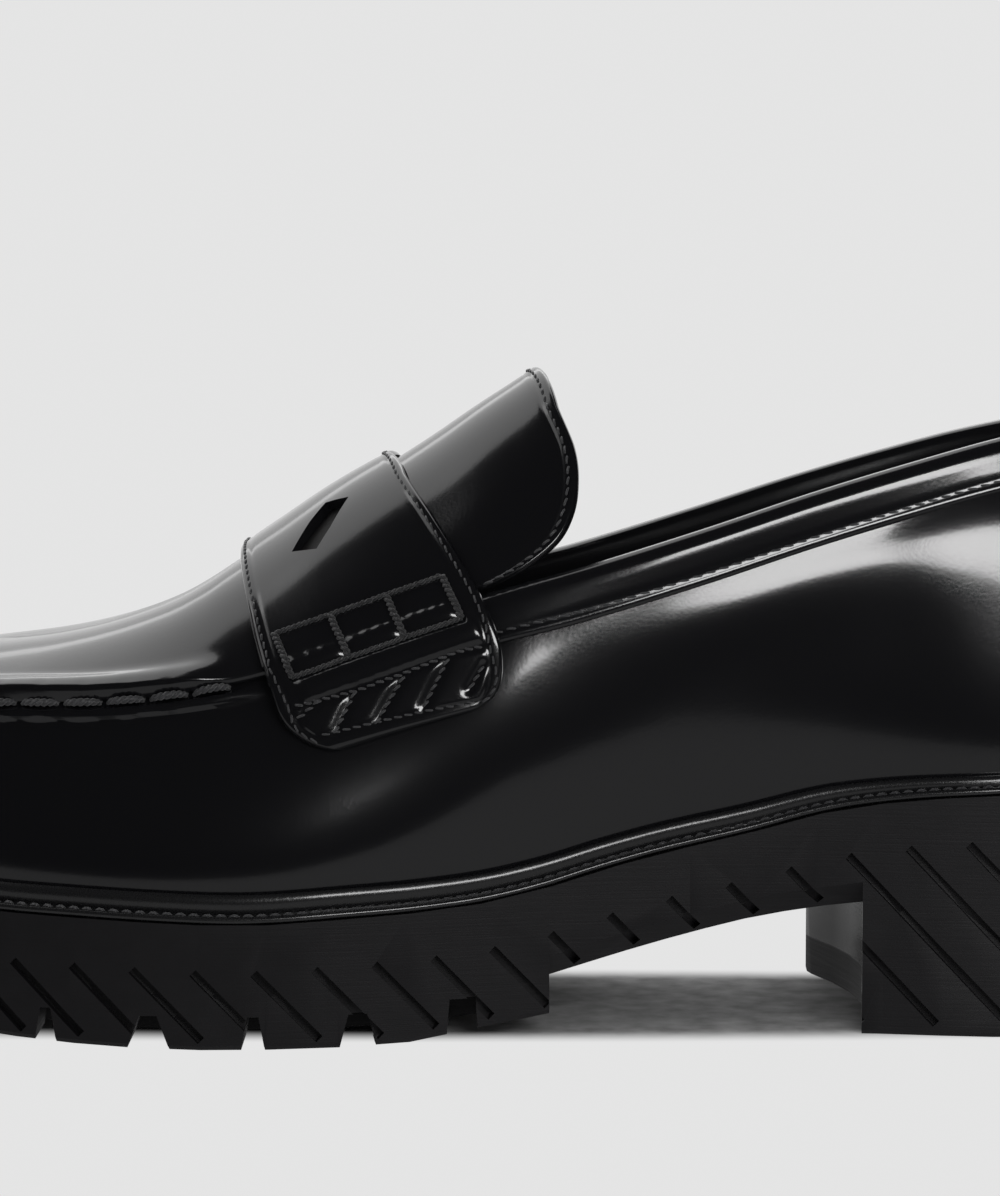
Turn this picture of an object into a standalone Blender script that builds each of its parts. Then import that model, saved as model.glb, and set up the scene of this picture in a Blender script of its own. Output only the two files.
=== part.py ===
"""Chunky lug sole loafer, a left shoe.

Shoe coordinates are millimetres: x runs forward from the back of the heel, y to the outer side
of the foot, and z up from the floor. The finished solids stand with the middle of their box over
the origin, in metres, with the toe at +X.
"""
import math

import bmesh
import bpy
import numpy as np
from mathutils import Vector

MM = 0.001
LENGTH = 300.0
GAP = 0.3

# The sole seen from above: half widths to the outer (lateral) and inner (medial) side.
SOLE_TIP_Y = -7.0
SOLE_PLAN = {
    "x": (8, 25, 48, 76, 100, 120, 140, 165, 188, 208, 230, 255, 275, 291),
    "lateral": (21.5, 34.0, 38.0, 34.0, 33.5, 35.0, 38.5, 45.0, 50.0, 51.0, 49.0, 43.0, 33.5, 17.5),
    "medial": (21.5, 33.5, 37.5, 36.0, 33.0, 32.5, 35.5, 44.5, 53.0, 57.0, 56.8, 52.0, 44.5, 31.0),
}

# The sole seen from the side: the edge that carries the welt.
SOLE_TOP = {
    "x": (0, 25, 49, 67, 82, 97, 117, 127, 138, 148, 162, 176, 196, 213, 228, 243, 272, 300),
    "z": (49.5, 48.8, 47.7, 46.3, 43.9, 39.9, 35.3, 32.6, 29.4, 27.3, 25.8, 25.1, 24.3, 24.9, 25.7,
          26.5, 29.6, 34.0),
}
BALL_START = 166.0
BALL_RISE = 0.16
SPRING_START = 197.0
SPRING = 0.0011
FOOT_CHAMFER = 0.9

# The arched waist between heel breast and forefoot.
WAIST_ROOF = {
    "x": (60, 76, 85, 95, 107, 119, 136, 150),
    "z": (25.0, 25.4, 24.2, 22.6, 19.8, 16.6, 11.8, 8.0),
}
BREAST_LATERAL = 76.0
BREAST_MEDIAL = 81.6
BREAST_HOLLOW = 6.5
WAIST_FRONT_LATERAL = 136.5
WAIST_FRONT_MEDIAL = 139.0
WAIST_BEVEL_HEIGHT = 4.5
WAIST_BEVEL_INSET = 5.0

# Slanting grooves of the sole's side.
GROOVE_PITCH = 11.75
GROOVE_WIDTH = 1.7
GROOVE_DEPTH = 1.7
GROOVE_SLOPE = math.radians(46)
GROOVE_BELOW_TOP = 9.3
GROOVE_ABOVE_FOOT = 1.7
GROOVE_FIRST = 4.4

# Tread channels that cut the forefoot lugs apart: width at the foot and at the channel's roof.
CHANNELS = {
    "x": (153.5, 173.7, 193.8, 214.0, 234.0, 254.0, 274.0),
    "foot_width": (6.0, 7.0, 4.6, 8.2, 4.2, 8.2, 4.6),
    "roof_width": (5.0, 3.6, 2.2, 3.4, 2.0, 3.4, 2.2),
}
CHANNEL_DEPTH = 6.5
CHANNEL_REACH = 17.0

# Insets of the upper's lower edge from the sole's edge, at the heel, waist and toe.
FEATHER = {
    "x": (0, 40, 80, 120, 160, 200, 250, 300),
    "inset": (3.6, 3.8, 4.2, 4.6, 4.8, 5.0, 5.0, 5.2),
}

# The shoulder line seen from above: the topline at the quarters, and the moccasin seam at the toe.
SHOULDER_BACK = 12.0
SHOULDER_FRONT = 284.0
SHOULDER_TIP_Y = -6.5
SHOULDER_PLAN = {
    "x": (16.5, 30, 48, 84, 106, 131, 150, 165, 180, 200, 220, 244, 262, 276.5),
    "lateral": (11.5, 21.5, 27.0, 31.0, 33.0, 34.0, 33.5, 32.5, 33.0, 35.0, 36.5, 35.0, 30.0, 18.5),
    "medial": (11.5, 21.5, 27.0, 31.0, 32.5, 33.0, 33.0, 33.0, 34.5, 38.5, 41.0, 40.5, 37.0, 28.0),
}
SHOULDER_SIDE = {
    "x": (12, 20, 32, 48, 66, 84, 106, 131, 150, 165, 180, 195, 206, 222, 244, 262, 284),
    "z": (120.4, 120.2, 118.8, 115.5, 110.6, 105.2, 98.0, 90.4, 85.2, 80.0, 74.4, 69.8, 67.8, 66.3,
          66.0, 65.4, 62.5),
}
# How a station of the sole (0 to 300) meets the shoulder line and the crest.
STATION = {
    "sole": (0, 30, 60, 130, 150, 170, 190, 210, 230, 250, 270, 285, 300),
    "shoulder": (12, 34.5, 61.5, 130, 150, 170, 190, 209.5, 227.5, 245.5, 262.5, 274.5, 284),
    "crest": (-5, 25, 60, 130, 150, 169.5, 187.5, 203, 217, 229, 238, 242.5, 245),
}
# How the leather rises: outward swell of the wall, its lean at the shoulder, the roof's start.
RISE = {
    "sole": (0, 30, 60, 90, 130, 150, 175, 200, 220, 240, 270, 300),
    "swell": (7.5, 5.5, 4.5, 5.0, 6.0, 6.0, 5.5, 5.0, 5.0, 5.0, 5.0, 5.0),
    "wall_lean": (66, 76, 83, 86, 78, 66, 62, 66, 78, 84, 84, 84),
    "roof_lean": (60, 60, 60, 60, 64, 64, 60, 46, 33, 24, 20, 24),
}
CREST = {
    "x": (131, 139, 142, 150, 158, 168.6, 178, 187, 195, 199, 202.5, 207.6, 216, 224, 232, 240, 246),
    "z": (132.6, 127.8, 125.8, 120.6, 115.1, 108.2, 102.1, 96.1, 91.2, 88.5, 86.0, 82.8, 79.0, 76.3,
          74.4, 73.1, 72.5),
}
CREST_Y = {"x": (100, 139, 165, 200, 246), "y": (-1.0, -2.0, -3.0, -5.0, -6.0)}
WALL_BOW = 0.33
ROOF_BOW = 0.44

# Thicknesses of the leather pieces and how high each lies over the shell's outer face.
UPPER_WALL = 2.2
APRON_BASE = 0.3
APRON_TOP = 1.9
APRON_RIM = 3.3
APRON_BACK = 186.5
APRON_RIM_START = (198.0, 208.0)
THROAT = 172.0
TONGUE_FRONT = 184.5
TONGUE_BASE = 0.5
TONGUE_TOP = 2.1

# The strap's two edges seen from the side, from its lower end up to the crest.
STRAP = {
    "step": (0, 0.12, 0.3, 0.5, 0.7, 0.85, 0.94),
    "front_x": (182.6, 187.4, 190.8, 194.2, 196.8, 198.2, 198.8),
    "front_z": (56.3, 61.6, 69.0, 78.0, 86.0, 90.6, 92.6),
    "back_x": (149.0, 146.4, 145.8, 148.6, 154.6, 161.0, 165.6),
    "back_z": (65.5, 69.0, 75.6, 84.4, 94.6, 104.0, 110.0),
}
STRAP_CREST = (196.5, 166.4)
STRAP_LOW = 2.4
STRAP_HIGH = 4.4
STRAP_BRIDGE = 2.75

# The tongue's free edge seen from the side, from its lower corner up to the crest.
TONGUE = {
    "step": (0, 0.15, 0.3, 0.45, 0.6, 0.75, 0.9),
    "x": (149.0, 141.0, 134.8, 131.8, 130.8, 131.6, 135.0),
    "z": (88.4, 92.4, 97.4, 103.0, 109.4, 115.4, 123.4),
}
TONGUE_CREST = 137.9

# Slots of the strap: their ends on the outer side, mirrored to the inner side.
SLOT_TOP = (178.6, 103.6)
SLOT_FOOT = (184.8, 94.2)
SLOT_WIDTH = 3.0

BINDING_START = 145.0
BINDING_DROP = 9.5
BINDING_INNER_DROP = 6.0
BINDING_THICK = 1.3

# Height of the welt's ridge over the sole's edge.
WELT = {
    "station": (0, 60, 90, 120, 300),
    "ridge": (3.7, 3.7, 4.6, 5.0, 5.0),
}

INSOLE_THICK = 3.0
INSOLE_INSET = 3.4

SIDES = (1.0, -1.0)

# Rows of points up the wall and over the roof, and how many stations run along the shoe.
STATION_COUNT = 34
WALL_ROWS = (0, 0.11, 0.27, 0.45, 0.63, 0.79, 0.89, 0.93, 0.97, 1.0)
ROOF_ROWS = (1.0001, 1.14, 1.34, 1.56, 1.78, 2.0)
RIM_ROWS = (1.04, 1.08)


def ease(x, table_x, table_y):
    """Smooth value of a table at x, with the table's own slopes at its rows."""
    table_x = np.asarray(table_x, float)
    table_y = np.asarray(table_y, float)
    x = np.clip(np.asarray(x, float), table_x[0], table_x[-1])
    row = np.clip(np.searchsorted(table_x, x, side="right") - 1, 0, len(table_x) - 2)
    slope = np.gradient(table_y, table_x)
    span = table_x[row + 1] - table_x[row]
    t = (x - table_x[row]) / span
    start = (1 + 2 * t) * (1 - t) ** 2 * table_y[row] + t * (1 - t) ** 2 * span * slope[row]
    end = t * t * (3 - 2 * t) * table_y[row + 1] + t * t * (t - 1) * span * slope[row + 1]
    return start + end


def blend(x, low, high):
    """Ease from 0 at low to 1 at high."""
    t = np.clip((np.asarray(x, float) - low) / (high - low), 0.0, 1.0)
    return t * t * (3 - 2 * t)


def closed_curve(corners, count):
    """Points along the smooth closed curve through the corners."""
    corners = np.array(corners, float)
    after = np.roll(corners, -1, axis=0)
    step = np.linalg.norm(after - corners, axis=1)
    before_step = np.roll(step, 1)
    slope = (after - corners) / step[:, None]
    size = len(corners)
    matrix = np.zeros((size, size))
    for i in range(size):
        matrix[i, i - 1] = before_step[i]
        matrix[i, i] = 2 * (before_step[i] + step[i])
        matrix[i, (i + 1) % size] = step[i]
    bend = np.linalg.solve(matrix, 6 * (slope - np.roll(slope, 1, axis=0)))
    bend_after = np.roll(bend, -1, axis=0)
    places = np.linspace(0, size, count, endpoint=False)
    i = places.astype(int)
    t = (places - i)[:, None]
    h = step[i][:, None]
    straight = (1 - t) * corners[i] + t * after[i]
    curved = ((1 - t) ** 3 - (1 - t)) * bend[i] + (t ** 3 - t) * bend_after[i]
    return straight + h * h / 6 * curved


class Outline:
    """A closed plan outline, read as half widths on both sides of the shoe."""

    def __init__(self, points):
        self.points = points
        ahead = np.roll(points, -1, axis=0) - np.roll(points, 1, axis=0)
        ahead /= np.linalg.norm(ahead, axis=1)[:, None]
        self.inward = np.stack([ahead[:, 1], -ahead[:, 0]], axis=1)
        back = int(np.argmin(points[:, 0]))
        order = np.roll(np.arange(len(points)), -back)
        front = int(np.argmax(points[order, 0]))
        self.halves = {1.0: order[:front + 1], -1.0: np.append(order[front:], order[0])[::-1]}
        self.back = points[back, 0]
        self.front = points[order[front], 0]

    def read(self, x, side, values):
        half = self.halves[side]
        return np.interp(x, self.points[half, 0], values[half])

    def y(self, x, side):
        return self.read(x, side, self.points[:, 1])

    def inset(self, amount):
        """The outline moved inward by an amount that may change along the shoe."""
        return Outline(self.points + self.inward * np.reshape(amount, (-1, 1)))


def plan_outline(plan, back, front, tip_y, count=1600):
    lateral = list(zip(plan["x"], plan["lateral"]))
    medial = [(x, -y) for x, y in zip(plan["x"], plan["medial"])]
    return Outline(closed_curve([(back, 0.0)] + lateral + [(front, tip_y)] + medial[::-1], count))


SOLE = plan_outline(SOLE_PLAN, 0.0, LENGTH, SOLE_TIP_Y)
FEATHER_LINE = SOLE.inset(ease(SOLE.points[:, 0], FEATHER["x"], FEATHER["inset"]))
SHOULDER_LINE = plan_outline(SHOULDER_PLAN, SHOULDER_BACK, SHOULDER_FRONT, SHOULDER_TIP_Y)
CENTRE_Y = (SOLE.points[:, 1].max() + SOLE.points[:, 1].min()) / 2


def sole_top(x):
    return ease(x, SOLE_TOP["x"], SOLE_TOP["z"])


def sole_foot(x):
    """Height of the tread: flat heel and ball, with the toe sprung up."""
    x = np.asarray(x, float)
    behind = np.where(x > 100, np.clip(BALL_START - x, 0, None) * BALL_RISE, 0.0)
    return behind + SPRING * np.clip(x - SPRING_START, 0, None) ** 2


def upper_point(station, side, girth):
    """A point of the shell's outer face.

    The station runs 0 to 300 along the sole. The girth runs 0 to 1 from the sole up the wall to
    the shoulder line, and 1 to 2 over the roof to the crest.
    """
    station, girth = np.broadcast_arrays(np.asarray(station, float), np.asarray(girth, float))
    share = np.clip(station / LENGTH, 0, 1)
    foot_x = FEATHER_LINE.back + share * (FEATHER_LINE.front - FEATHER_LINE.back)
    foot = np.stack([foot_x, FEATHER_LINE.y(foot_x, side), sole_top(foot_x) + GAP], axis=-1)
    inward = np.stack([FEATHER_LINE.read(foot_x, side, FEATHER_LINE.inward[:, 0]),
                       FEATHER_LINE.read(foot_x, side, FEATHER_LINE.inward[:, 1]),
                       np.zeros_like(foot_x)], axis=-1)
    top_share = ((ease(station, STATION["sole"], STATION["shoulder"]) - SHOULDER_BACK)
                 / (SHOULDER_FRONT - SHOULDER_BACK))
    top_x = SHOULDER_LINE.back + top_share * (SHOULDER_LINE.front - SHOULDER_LINE.back)
    top = np.stack([top_x, SHOULDER_LINE.y(top_x, side),
                    ease(top_x, SHOULDER_SIDE["x"], SHOULDER_SIDE["z"])], axis=-1)
    crest_x = ease(station, STATION["sole"], STATION["crest"])
    crest = np.stack([crest_x, ease(crest_x, CREST_Y["x"], CREST_Y["y"]),
                      ease(crest_x, CREST["x"], CREST["z"])], axis=-1)
    up = np.array([0.0, 0.0, 1.0])

    def lean(name):
        angle = np.radians(ease(station, RISE["sole"], RISE[name]))
        return np.cos(angle)[..., None], np.sin(angle)[..., None]

    swell = ease(station, RISE["sole"], RISE["swell"])[..., None]
    reach = np.linalg.norm(top - foot, axis=-1)[..., None] * WALL_BOW
    flat, steep = lean("wall_lean")
    wall = bezier(foot, foot + up * reach - inward * swell,
                  top - (inward * flat + up * steep) * reach, top, np.clip(girth, 0, 1))
    across = crest - top
    across[..., 2] = 0
    width = np.linalg.norm(across, axis=-1)[..., None]
    across = across / np.maximum(width, 1e-6)
    flat, steep = lean("roof_lean")
    reach = np.linalg.norm(crest - top, axis=-1)[..., None] * ROOF_BOW
    roof = bezier(top, top + (across * flat + up * steep) * reach,
                  crest - across * width * ROOF_BOW, crest, np.clip(girth - 1, 0, 1))
    return np.where((girth > 1)[..., None], roof, wall)


def bezier(start, first, second, end, t):
    t = t[..., None]
    return ((1 - t) ** 3 * start + 3 * (1 - t) ** 2 * t * first
            + 3 * (1 - t) * t * t * second + t ** 3 * end)


def point_around(station, side, girth):
    """A point of the shell whose station may run past the toe or heel onto the other side."""
    past = (station > LENGTH) | (station < 0)
    folded = np.where(station > LENGTH, 2 * LENGTH - station, np.abs(station))
    return np.where(past[..., None], upper_point(folded, -side, girth), upper_point(folded, side, girth))


def upper_normal(station, side, girth):
    """The outward direction of the shell at a point."""
    station, girth = np.broadcast_arrays(np.asarray(station, float), np.asarray(girth, float))
    small = 0.4
    turn = 0.004
    off_crest = np.minimum(girth, 1.96)
    along = (point_around(station + small, side, off_crest)
             - point_around(station - small, side, off_crest))
    low = np.where(girth > 1, np.maximum(girth - turn, 1.0001), np.clip(girth - turn, 0, 1))
    high = np.where(girth > 1, np.minimum(girth + turn, 2), np.clip(girth + turn, 0, 1))
    climb = upper_point(station, side, high) - upper_point(station, side, low)
    normal = np.cross(along, climb) * -side
    return normal / np.maximum(np.linalg.norm(normal, axis=-1), 1e-9)[..., None]


def raised(station, side, girth, lift):
    """A point that lies a given height over the shell's outer face."""
    return upper_point(station, side, girth) + upper_normal(station, side, girth) * np.reshape(
        lift, np.shape(lift) + (1,))


def find_on_side(x, z, side, lift):
    """Station and girth whose point, raised by the lift, shows at x and z from the side."""
    x = np.asarray(x, float)
    z = np.asarray(z, float)
    station = x.copy()
    for _ in range(6):
        low = np.zeros_like(x)
        high = np.full_like(x, 2.0)
        for _ in range(18):
            girth = (low + high) / 2
            below = raised(station, side, girth, lift(girth))[..., 2] < z
            low = np.where(below, girth, low)
            high = np.where(below, high, girth)
        station = station + x - raised(station, side, girth, lift(girth))[..., 0]
    return station, girth


def station_of_crest(x):
    return np.interp(x, STATION["crest"], STATION["sole"])


def place(point):
    """From shoe coordinates to metres, with the middle of the box over the origin."""
    return Vector(((point[0] - LENGTH / 2) * MM, (point[1] - CENTRE_Y) * MM, point[2] * MM))


def stations_through(count, exact=()):
    """Stations from heel to toe, closer at both ends, with the nearest moved to exact places."""
    stations = LENGTH * (1 - np.cos(np.pi * np.arange(count + 1) / count)) / 2
    for x in exact:
        stations[np.argmin(abs(stations - x))] = x
    return stations


def make_object(name, bm, collection):
    """An object in the collection from a closed bmesh, shaded smooth with sharp edges kept."""
    bmesh.ops.recalc_face_normals(bm, faces=bm.faces)
    mesh = bpy.data.meshes.new(name)
    bm.to_mesh(mesh)
    bm.free()
    mesh.shade_smooth()
    mesh.set_sharp_from_angle(angle=math.radians(35))
    item = bpy.data.objects.new(name, mesh)
    collection.objects.link(item)
    return item


def shell_between(name, outer, inner, quads, collection):
    """A closed solid between two skins that share the same faces."""
    keys = {}
    first = []
    for point in np.round(outer, 4):
        first.append(keys.setdefault(tuple(point), len(keys)))
    bm = bmesh.new()
    skins = []
    for points in (outer, inner):
        made = {}
        for index, point in zip(first, points):
            if index not in made:
                made[index] = bm.verts.new(place(point))
        skins.append(made)
    edges = set()
    for quad in quads:
        corners = []
        for index in quad:
            if first[index] not in corners:
                corners.append(first[index])
        if len(corners) < 3:
            continue
        bm.faces.new([skins[0][i] for i in corners])
        bm.faces.new([skins[1][i] for i in reversed(corners)])
        edges.update(zip(corners, corners[1:] + corners[:1]))
    for a, b in edges:
        if (b, a) not in edges:
            bm.faces.new([skins[0][b], skins[0][a], skins[1][a], skins[1][b]])
    return make_object(name, bm, collection)


def grid_quads(rows, columns, wrap=False):
    """Faces of a grid whose points are numbered row by row."""
    quads = []
    for i in range(rows - 1):
        for j in range(columns if wrap else columns - 1):
            k = (j + 1) % columns
            quads.append((i * columns + j, i * columns + k, (i + 1) * columns + k, (i + 1) * columns + j))
    return quads


def loft(name, rings, collection, closed=False):
    """A solid through rings of points, capped at both ends or closed on itself."""
    bm = bmesh.new()
    made = [[bm.verts.new(place(point)) for point in ring] for ring in rings]
    count = len(made[0])
    pairs = list(zip(made, made[1:]))
    if closed:
        pairs.append((made[-1], made[0]))
    for low, high in pairs:
        for j in range(count):
            k = (j + 1) % count
            bm.faces.new([low[j], low[k], high[k], high[j]])
    if not closed:
        bm.faces.new(made[0][::-1])
        bm.faces.new(made[-1])
    return make_object(name, bm, collection)


def slab(name, rings, collection):
    """A solid through plan rings, closed above and below by strips from side to side.

    Each ring is a pair of lists, lateral and medial, from heel to toe, sharing their end points.
    """
    bm = bmesh.new()
    made = []
    for lateral, medial in rings:
        left = [bm.verts.new(place(point)) for point in lateral]
        right = [left[0]] + [bm.verts.new(place(point)) for point in medial[1:-1]] + [left[-1]]
        made.append((left, right))
    for (low_left, low_right), (high_left, high_right) in zip(made, made[1:]):
        for low, high in ((low_left, high_left), (low_right, high_right)):
            for j in range(len(low) - 1):
                bm.faces.new([low[j], low[j + 1], high[j + 1], high[j]])
    for left, right in (made[0], made[-1]):
        for j in range(len(left) - 1):
            corners = [left[j], left[j + 1], right[j + 1], right[j]]
            bm.faces.new(list(dict.fromkeys(corners)))
    return make_object(name, bm, collection)


def plan_ring(outline, stations, height):
    """Lateral and medial points of an outline, with their height as a function of x."""
    sides = []
    xs = outline.back + stations / LENGTH * (outline.front - outline.back)
    for side in SIDES:
        sides.append(np.stack([xs, outline.y(xs, side), height(xs)], axis=-1))
    return sides


def cut(item, cutters):
    """Cut one object by another, exactly."""
    modifier = item.modifiers.new("cut_" + cutters.name, "BOOLEAN")
    modifier.operation = "DIFFERENCE"
    modifier.solver = "EXACT"
    modifier.object = cutters
    cutters.hide_render = True
    cutters.display_type = "WIRE"


def join_blocks(name, blocks, collection):
    """One cutter object from several closed blocks, each a list of rings."""
    bm = bmesh.new()
    for rings in blocks:
        made = [[bm.verts.new(place(point)) for point in ring] for ring in rings]
        for low, high in zip(made, made[1:]):
            for j in range(len(low)):
                k = (j + 1) % len(low)
                bm.faces.new([low[j], low[k], high[k], high[j]])
        bm.faces.new(made[0][::-1])
        bm.faces.new(made[-1])
    return make_object(name, bm, collection)


def breast_x(y):
    """The heel's front face seen from above: a shallow hollow between its two corners."""
    lateral = float(SOLE.y(BREAST_LATERAL, 1.0))
    medial = float(SOLE.y(BREAST_MEDIAL, -1.0))
    share = (y - medial) / (lateral - medial)
    chord = BREAST_MEDIAL + share * (BREAST_LATERAL - BREAST_MEDIAL)
    return chord - BREAST_HOLLOW * max(0.0, 4 * share * (1 - share))


def waist_front_x(y):
    """The wall in front of the waist, a straight line from the medial to the lateral side."""
    half_width = 40.0
    share = (y + half_width) / (2 * half_width)
    return WAIST_FRONT_MEDIAL + share * (WAIST_FRONT_LATERAL - WAIST_FRONT_MEDIAL)


def waist_cutter(collection):
    """The arch under the waist, with its sloping side edges and the hollow heel breast."""
    outside = 6.0
    floor = -5.0
    slope = WAIST_BEVEL_HEIGHT / WAIST_BEVEL_INSET
    middle = np.linspace(0, 1, 7)
    steps = np.linspace(0, 1, 9)
    roofs = []
    for t in steps:
        guess = BREAST_LATERAL + t * (WAIST_FRONT_LATERAL - BREAST_LATERAL)
        left = float(SOLE.y(guess, 1.0))
        right = float(SOLE.y(guess, -1.0))
        span = left - right - 2 * WAIST_BEVEL_INSET
        row = [(left + outside, (outside + WAIST_BEVEL_INSET) * slope)]
        row += [(left - WAIST_BEVEL_INSET - share * span, 0.0) for share in middle]
        row.append((right - outside, (outside + WAIST_BEVEL_INSET) * slope))
        for y, extra in row:
            x = breast_x(y) + t * (waist_front_x(y) - breast_x(y))
            roofs.append((x, y, float(ease(x, WAIST_ROOF["x"], WAIST_ROOF["z"])) + extra))
    roofs = np.array(roofs)
    floors = roofs * (1, 1, 0) + (0, 0, floor)
    return shell_between("waist_cutter", roofs, floors, grid_quads(len(steps), len(middle) + 2), collection)


def side_inset(x, z):
    """How far the finished wall stands in from the outline, or None where it is cut away."""
    if BREAST_LATERAL + 1.5 < x < WAIST_FRONT_LATERAL:
        roof = float(ease(x, WAIST_ROOF["x"], WAIST_ROOF["z"]))
        if z < roof + 0.6:
            return None
        return max(0.0, 1 - (z - roof) / WAIST_BEVEL_HEIGHT) * WAIST_BEVEL_INSET
    return 0.0


def groove_runs(side):
    """Paths of the slanting side grooves: lists of outline places and heights."""
    half = SOLE.halves[side]
    points = SOLE.points[half]
    inward = SOLE.inward[half]
    arc = np.append(0, np.cumsum(np.linalg.norm(np.diff(points, axis=0), axis=1)))
    slant = 1 / math.tan(GROOVE_SLOPE)
    end_margin = 2.6
    for start in np.arange(GROOVE_FIRST, arc[-1] - end_margin, GROOVE_PITCH):
        top_x = np.interp(start, arc, points[:, 0])
        top_z = float(sole_top(top_x)) - GROOVE_BELOW_TOP
        run = []
        heights = np.linspace(top_z, 0, 40)
        for z in heights:
            along = start - (top_z - z) * slant
            if along < end_margin:
                break
            x, y, nx, ny = (np.interp(along, arc, column) for column in (
                points[:, 0], points[:, 1], inward[:, 0], inward[:, 1]))
            inset = side_inset(x, z)
            if inset is None:
                if len(run) > 3:
                    yield run
                run = []
            elif z > float(sole_foot(x)) + GROOVE_ABOVE_FOOT:
                run.append((x + nx * inset, y + ny * inset, z, nx, ny))
        if len(run) > 3:
            yield run


def is_bevelled(row):
    """Whether a groove's point lies on the bevel over the waist's roof."""
    return bool(side_inset(row[0], row[2]))


def groove_cutter(collection):
    """All slanting grooves, as strips that follow the sole's side."""
    outside = 1.2
    blocks = []
    for side in SIDES:
        for run in groove_runs(side):
            picks = set(np.linspace(0, len(run) - 1, 2 + len(run) // 14).astype(int))
            bends = [i for i in range(1, len(run)) if is_bevelled(run[i]) != is_bevelled(run[i - 1])]
            path = np.array([run[i] for i in sorted(picks.union(bends))])
            rings = []
            for i, (x, y, z, nx, ny) in enumerate(path):
                ahead = path[min(i + 1, len(path) - 1), :3] - path[max(i - 1, 0), :3]
                normal = np.array([-nx, -ny, 0.0])
                across = np.cross(ahead, normal)
                across *= GROOVE_WIDTH / 2 / np.linalg.norm(across)
                centre = np.array([x, y, z])
                outer = centre + normal * outside
                deep = centre - normal * GROOVE_DEPTH
                rings.append([outer - across, outer + across, deep + across, deep - across])
            blocks.append(rings)
    return join_blocks("groove_cutter", blocks, collection)


def channel_block(x, foot_width, roof_width, start_y, end_y, depth):
    """A channel across the tread, wider at the foot than at its roof."""
    foot = float(sole_foot(x))
    below = 1.5
    flare = (foot_width - roof_width) / 2 / depth
    low = foot_width / 2 + flare * below
    high = roof_width / 2
    rings = []
    for y in (start_y, end_y):
        rings.append([(x - low, y, foot - below), (x + low, y, foot - below),
                      (x + high, y, foot + depth), (x - high, y, foot + depth)])
    return rings


def lengthwise_block(side, start, end, inset, width, depth):
    """A channel along the tread that follows the outline."""
    below = 1.5
    rings = []
    for x in np.linspace(start, end, 7):
        edge = float(SOLE.y(x, side))
        foot = float(sole_foot(x))
        near = edge - side * inset
        far = edge - side * (inset + width)
        rings.append([(x, near, foot - below), (x, far, foot - below),
                      (x, far, foot + depth), (x, near, foot + depth)])
    return rings


def tread_cutters(collection):
    """Channels between the lugs: side notches, lengthwise channels and cross channels."""
    outside = 4.0
    lengthwise_start = 158.0
    lengthwise_end = 270.0
    lengthwise_width = 5.0
    cross_depth = 5.0
    notches = []
    for x, foot_width, roof_width in zip(*CHANNELS.values()):
        for side in SIDES:
            edge = float(SOLE.y(x, side))
            notches.append(channel_block(x, foot_width, roof_width, edge + side * outside,
                                         edge - side * CHANNEL_REACH, CHANNEL_DEPTH))
    lengthwise = []
    for side in SIDES:
        lengthwise.append(lengthwise_block(side, lengthwise_start, lengthwise_end, CHANNEL_REACH - 1.0,
                                           lengthwise_width, cross_depth))
    crosses = []
    inset = CHANNEL_REACH + lengthwise_width - 2.0
    middles = (np.array(CHANNELS["x"][1:]) + np.array(CHANNELS["x"][:-1])) / 2
    for x in middles[1:-1]:
        crosses.append(channel_block(x, 5.0, 4.0, float(SOLE.y(x, 1.0)) - inset,
                                     float(SOLE.y(x, -1.0)) + inset, cross_depth - 0.4))
    heel_reach = 17.0
    heel_places = (20.0, 34.0, 48.0, 60.0)
    for x in heel_places:
        crosses.append(channel_block(x, 5.0, 4.0, heel_reach, -heel_reach, cross_depth))
    return (join_blocks("notch_cutter", notches, collection),
            join_blocks("lengthwise_cutter", lengthwise, collection),
            join_blocks("cross_cutter", crosses, collection))


def build_lug_sole(parts, cutters):
    stations = stations_through(STATION_COUNT)
    rings = []
    for inset, rise in ((FOOT_CHAMFER, 0.0), (0.0, FOOT_CHAMFER)):
        rings.append(plan_ring(SOLE.inset(np.full(len(SOLE.points), inset)) if inset else SOLE,
                               stations, lambda x, rise=rise: sole_foot(x) + rise))
    rings.append(plan_ring(SOLE, stations, sole_top))
    sole = slab("lug_sole", rings, parts)
    cut(sole, waist_cutter(cutters))
    for cutter in tread_cutters(cutters):
        cut(sole, cutter)
    cut(sole, groove_cutter(cutters))
    return sole


def upper_columns(stations):
    """Stations and sides once round the shell: up the lateral side and back down the medial."""
    around = [(station, 1.0) for station in stations]
    return around + [(station, -1.0) for station in stations[-2:0:-1]]


def build_upper(parts, cutters):
    stations = stations_through(STATION_COUNT, (THROAT, APRON_BACK))
    around = upper_columns(stations)
    outer = []
    inner = []
    for girth in WALL_ROWS:
        for station, side in around:
            outer.append(upper_point(station, side, girth))
            inner.append(raised(station, side, girth, -UPPER_WALL))
    quads = grid_quads(len(WALL_ROWS), len(around), wrap=True)
    roof_stations = stations[stations >= THROAT]
    columns = len(roof_stations)
    shoulder = {key: (len(WALL_ROWS) - 1) * len(around) + i for i, key in enumerate(around)}
    shoulder[(stations[-1], -1.0)] = shoulder[(stations[-1], 1.0)]
    for side in SIDES:
        lower = [shoulder[(station, side)] for station in roof_stations]
        for girth in ROOF_ROWS[1:]:
            row = []
            for station in roof_stations:
                row.append(len(outer))
                outer.append(upper_point(station, side, girth))
                inner.append(raised(station, side, girth, -UPPER_WALL))
            for j in range(columns - 1):
                quad = (lower[j], lower[j + 1], row[j + 1], row[j])
                quads.append(quad if side > 0 else quad[::-1])
            lower = row
    return shell_between("upper", np.array(outer), np.array(inner), quads, parts)


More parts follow.
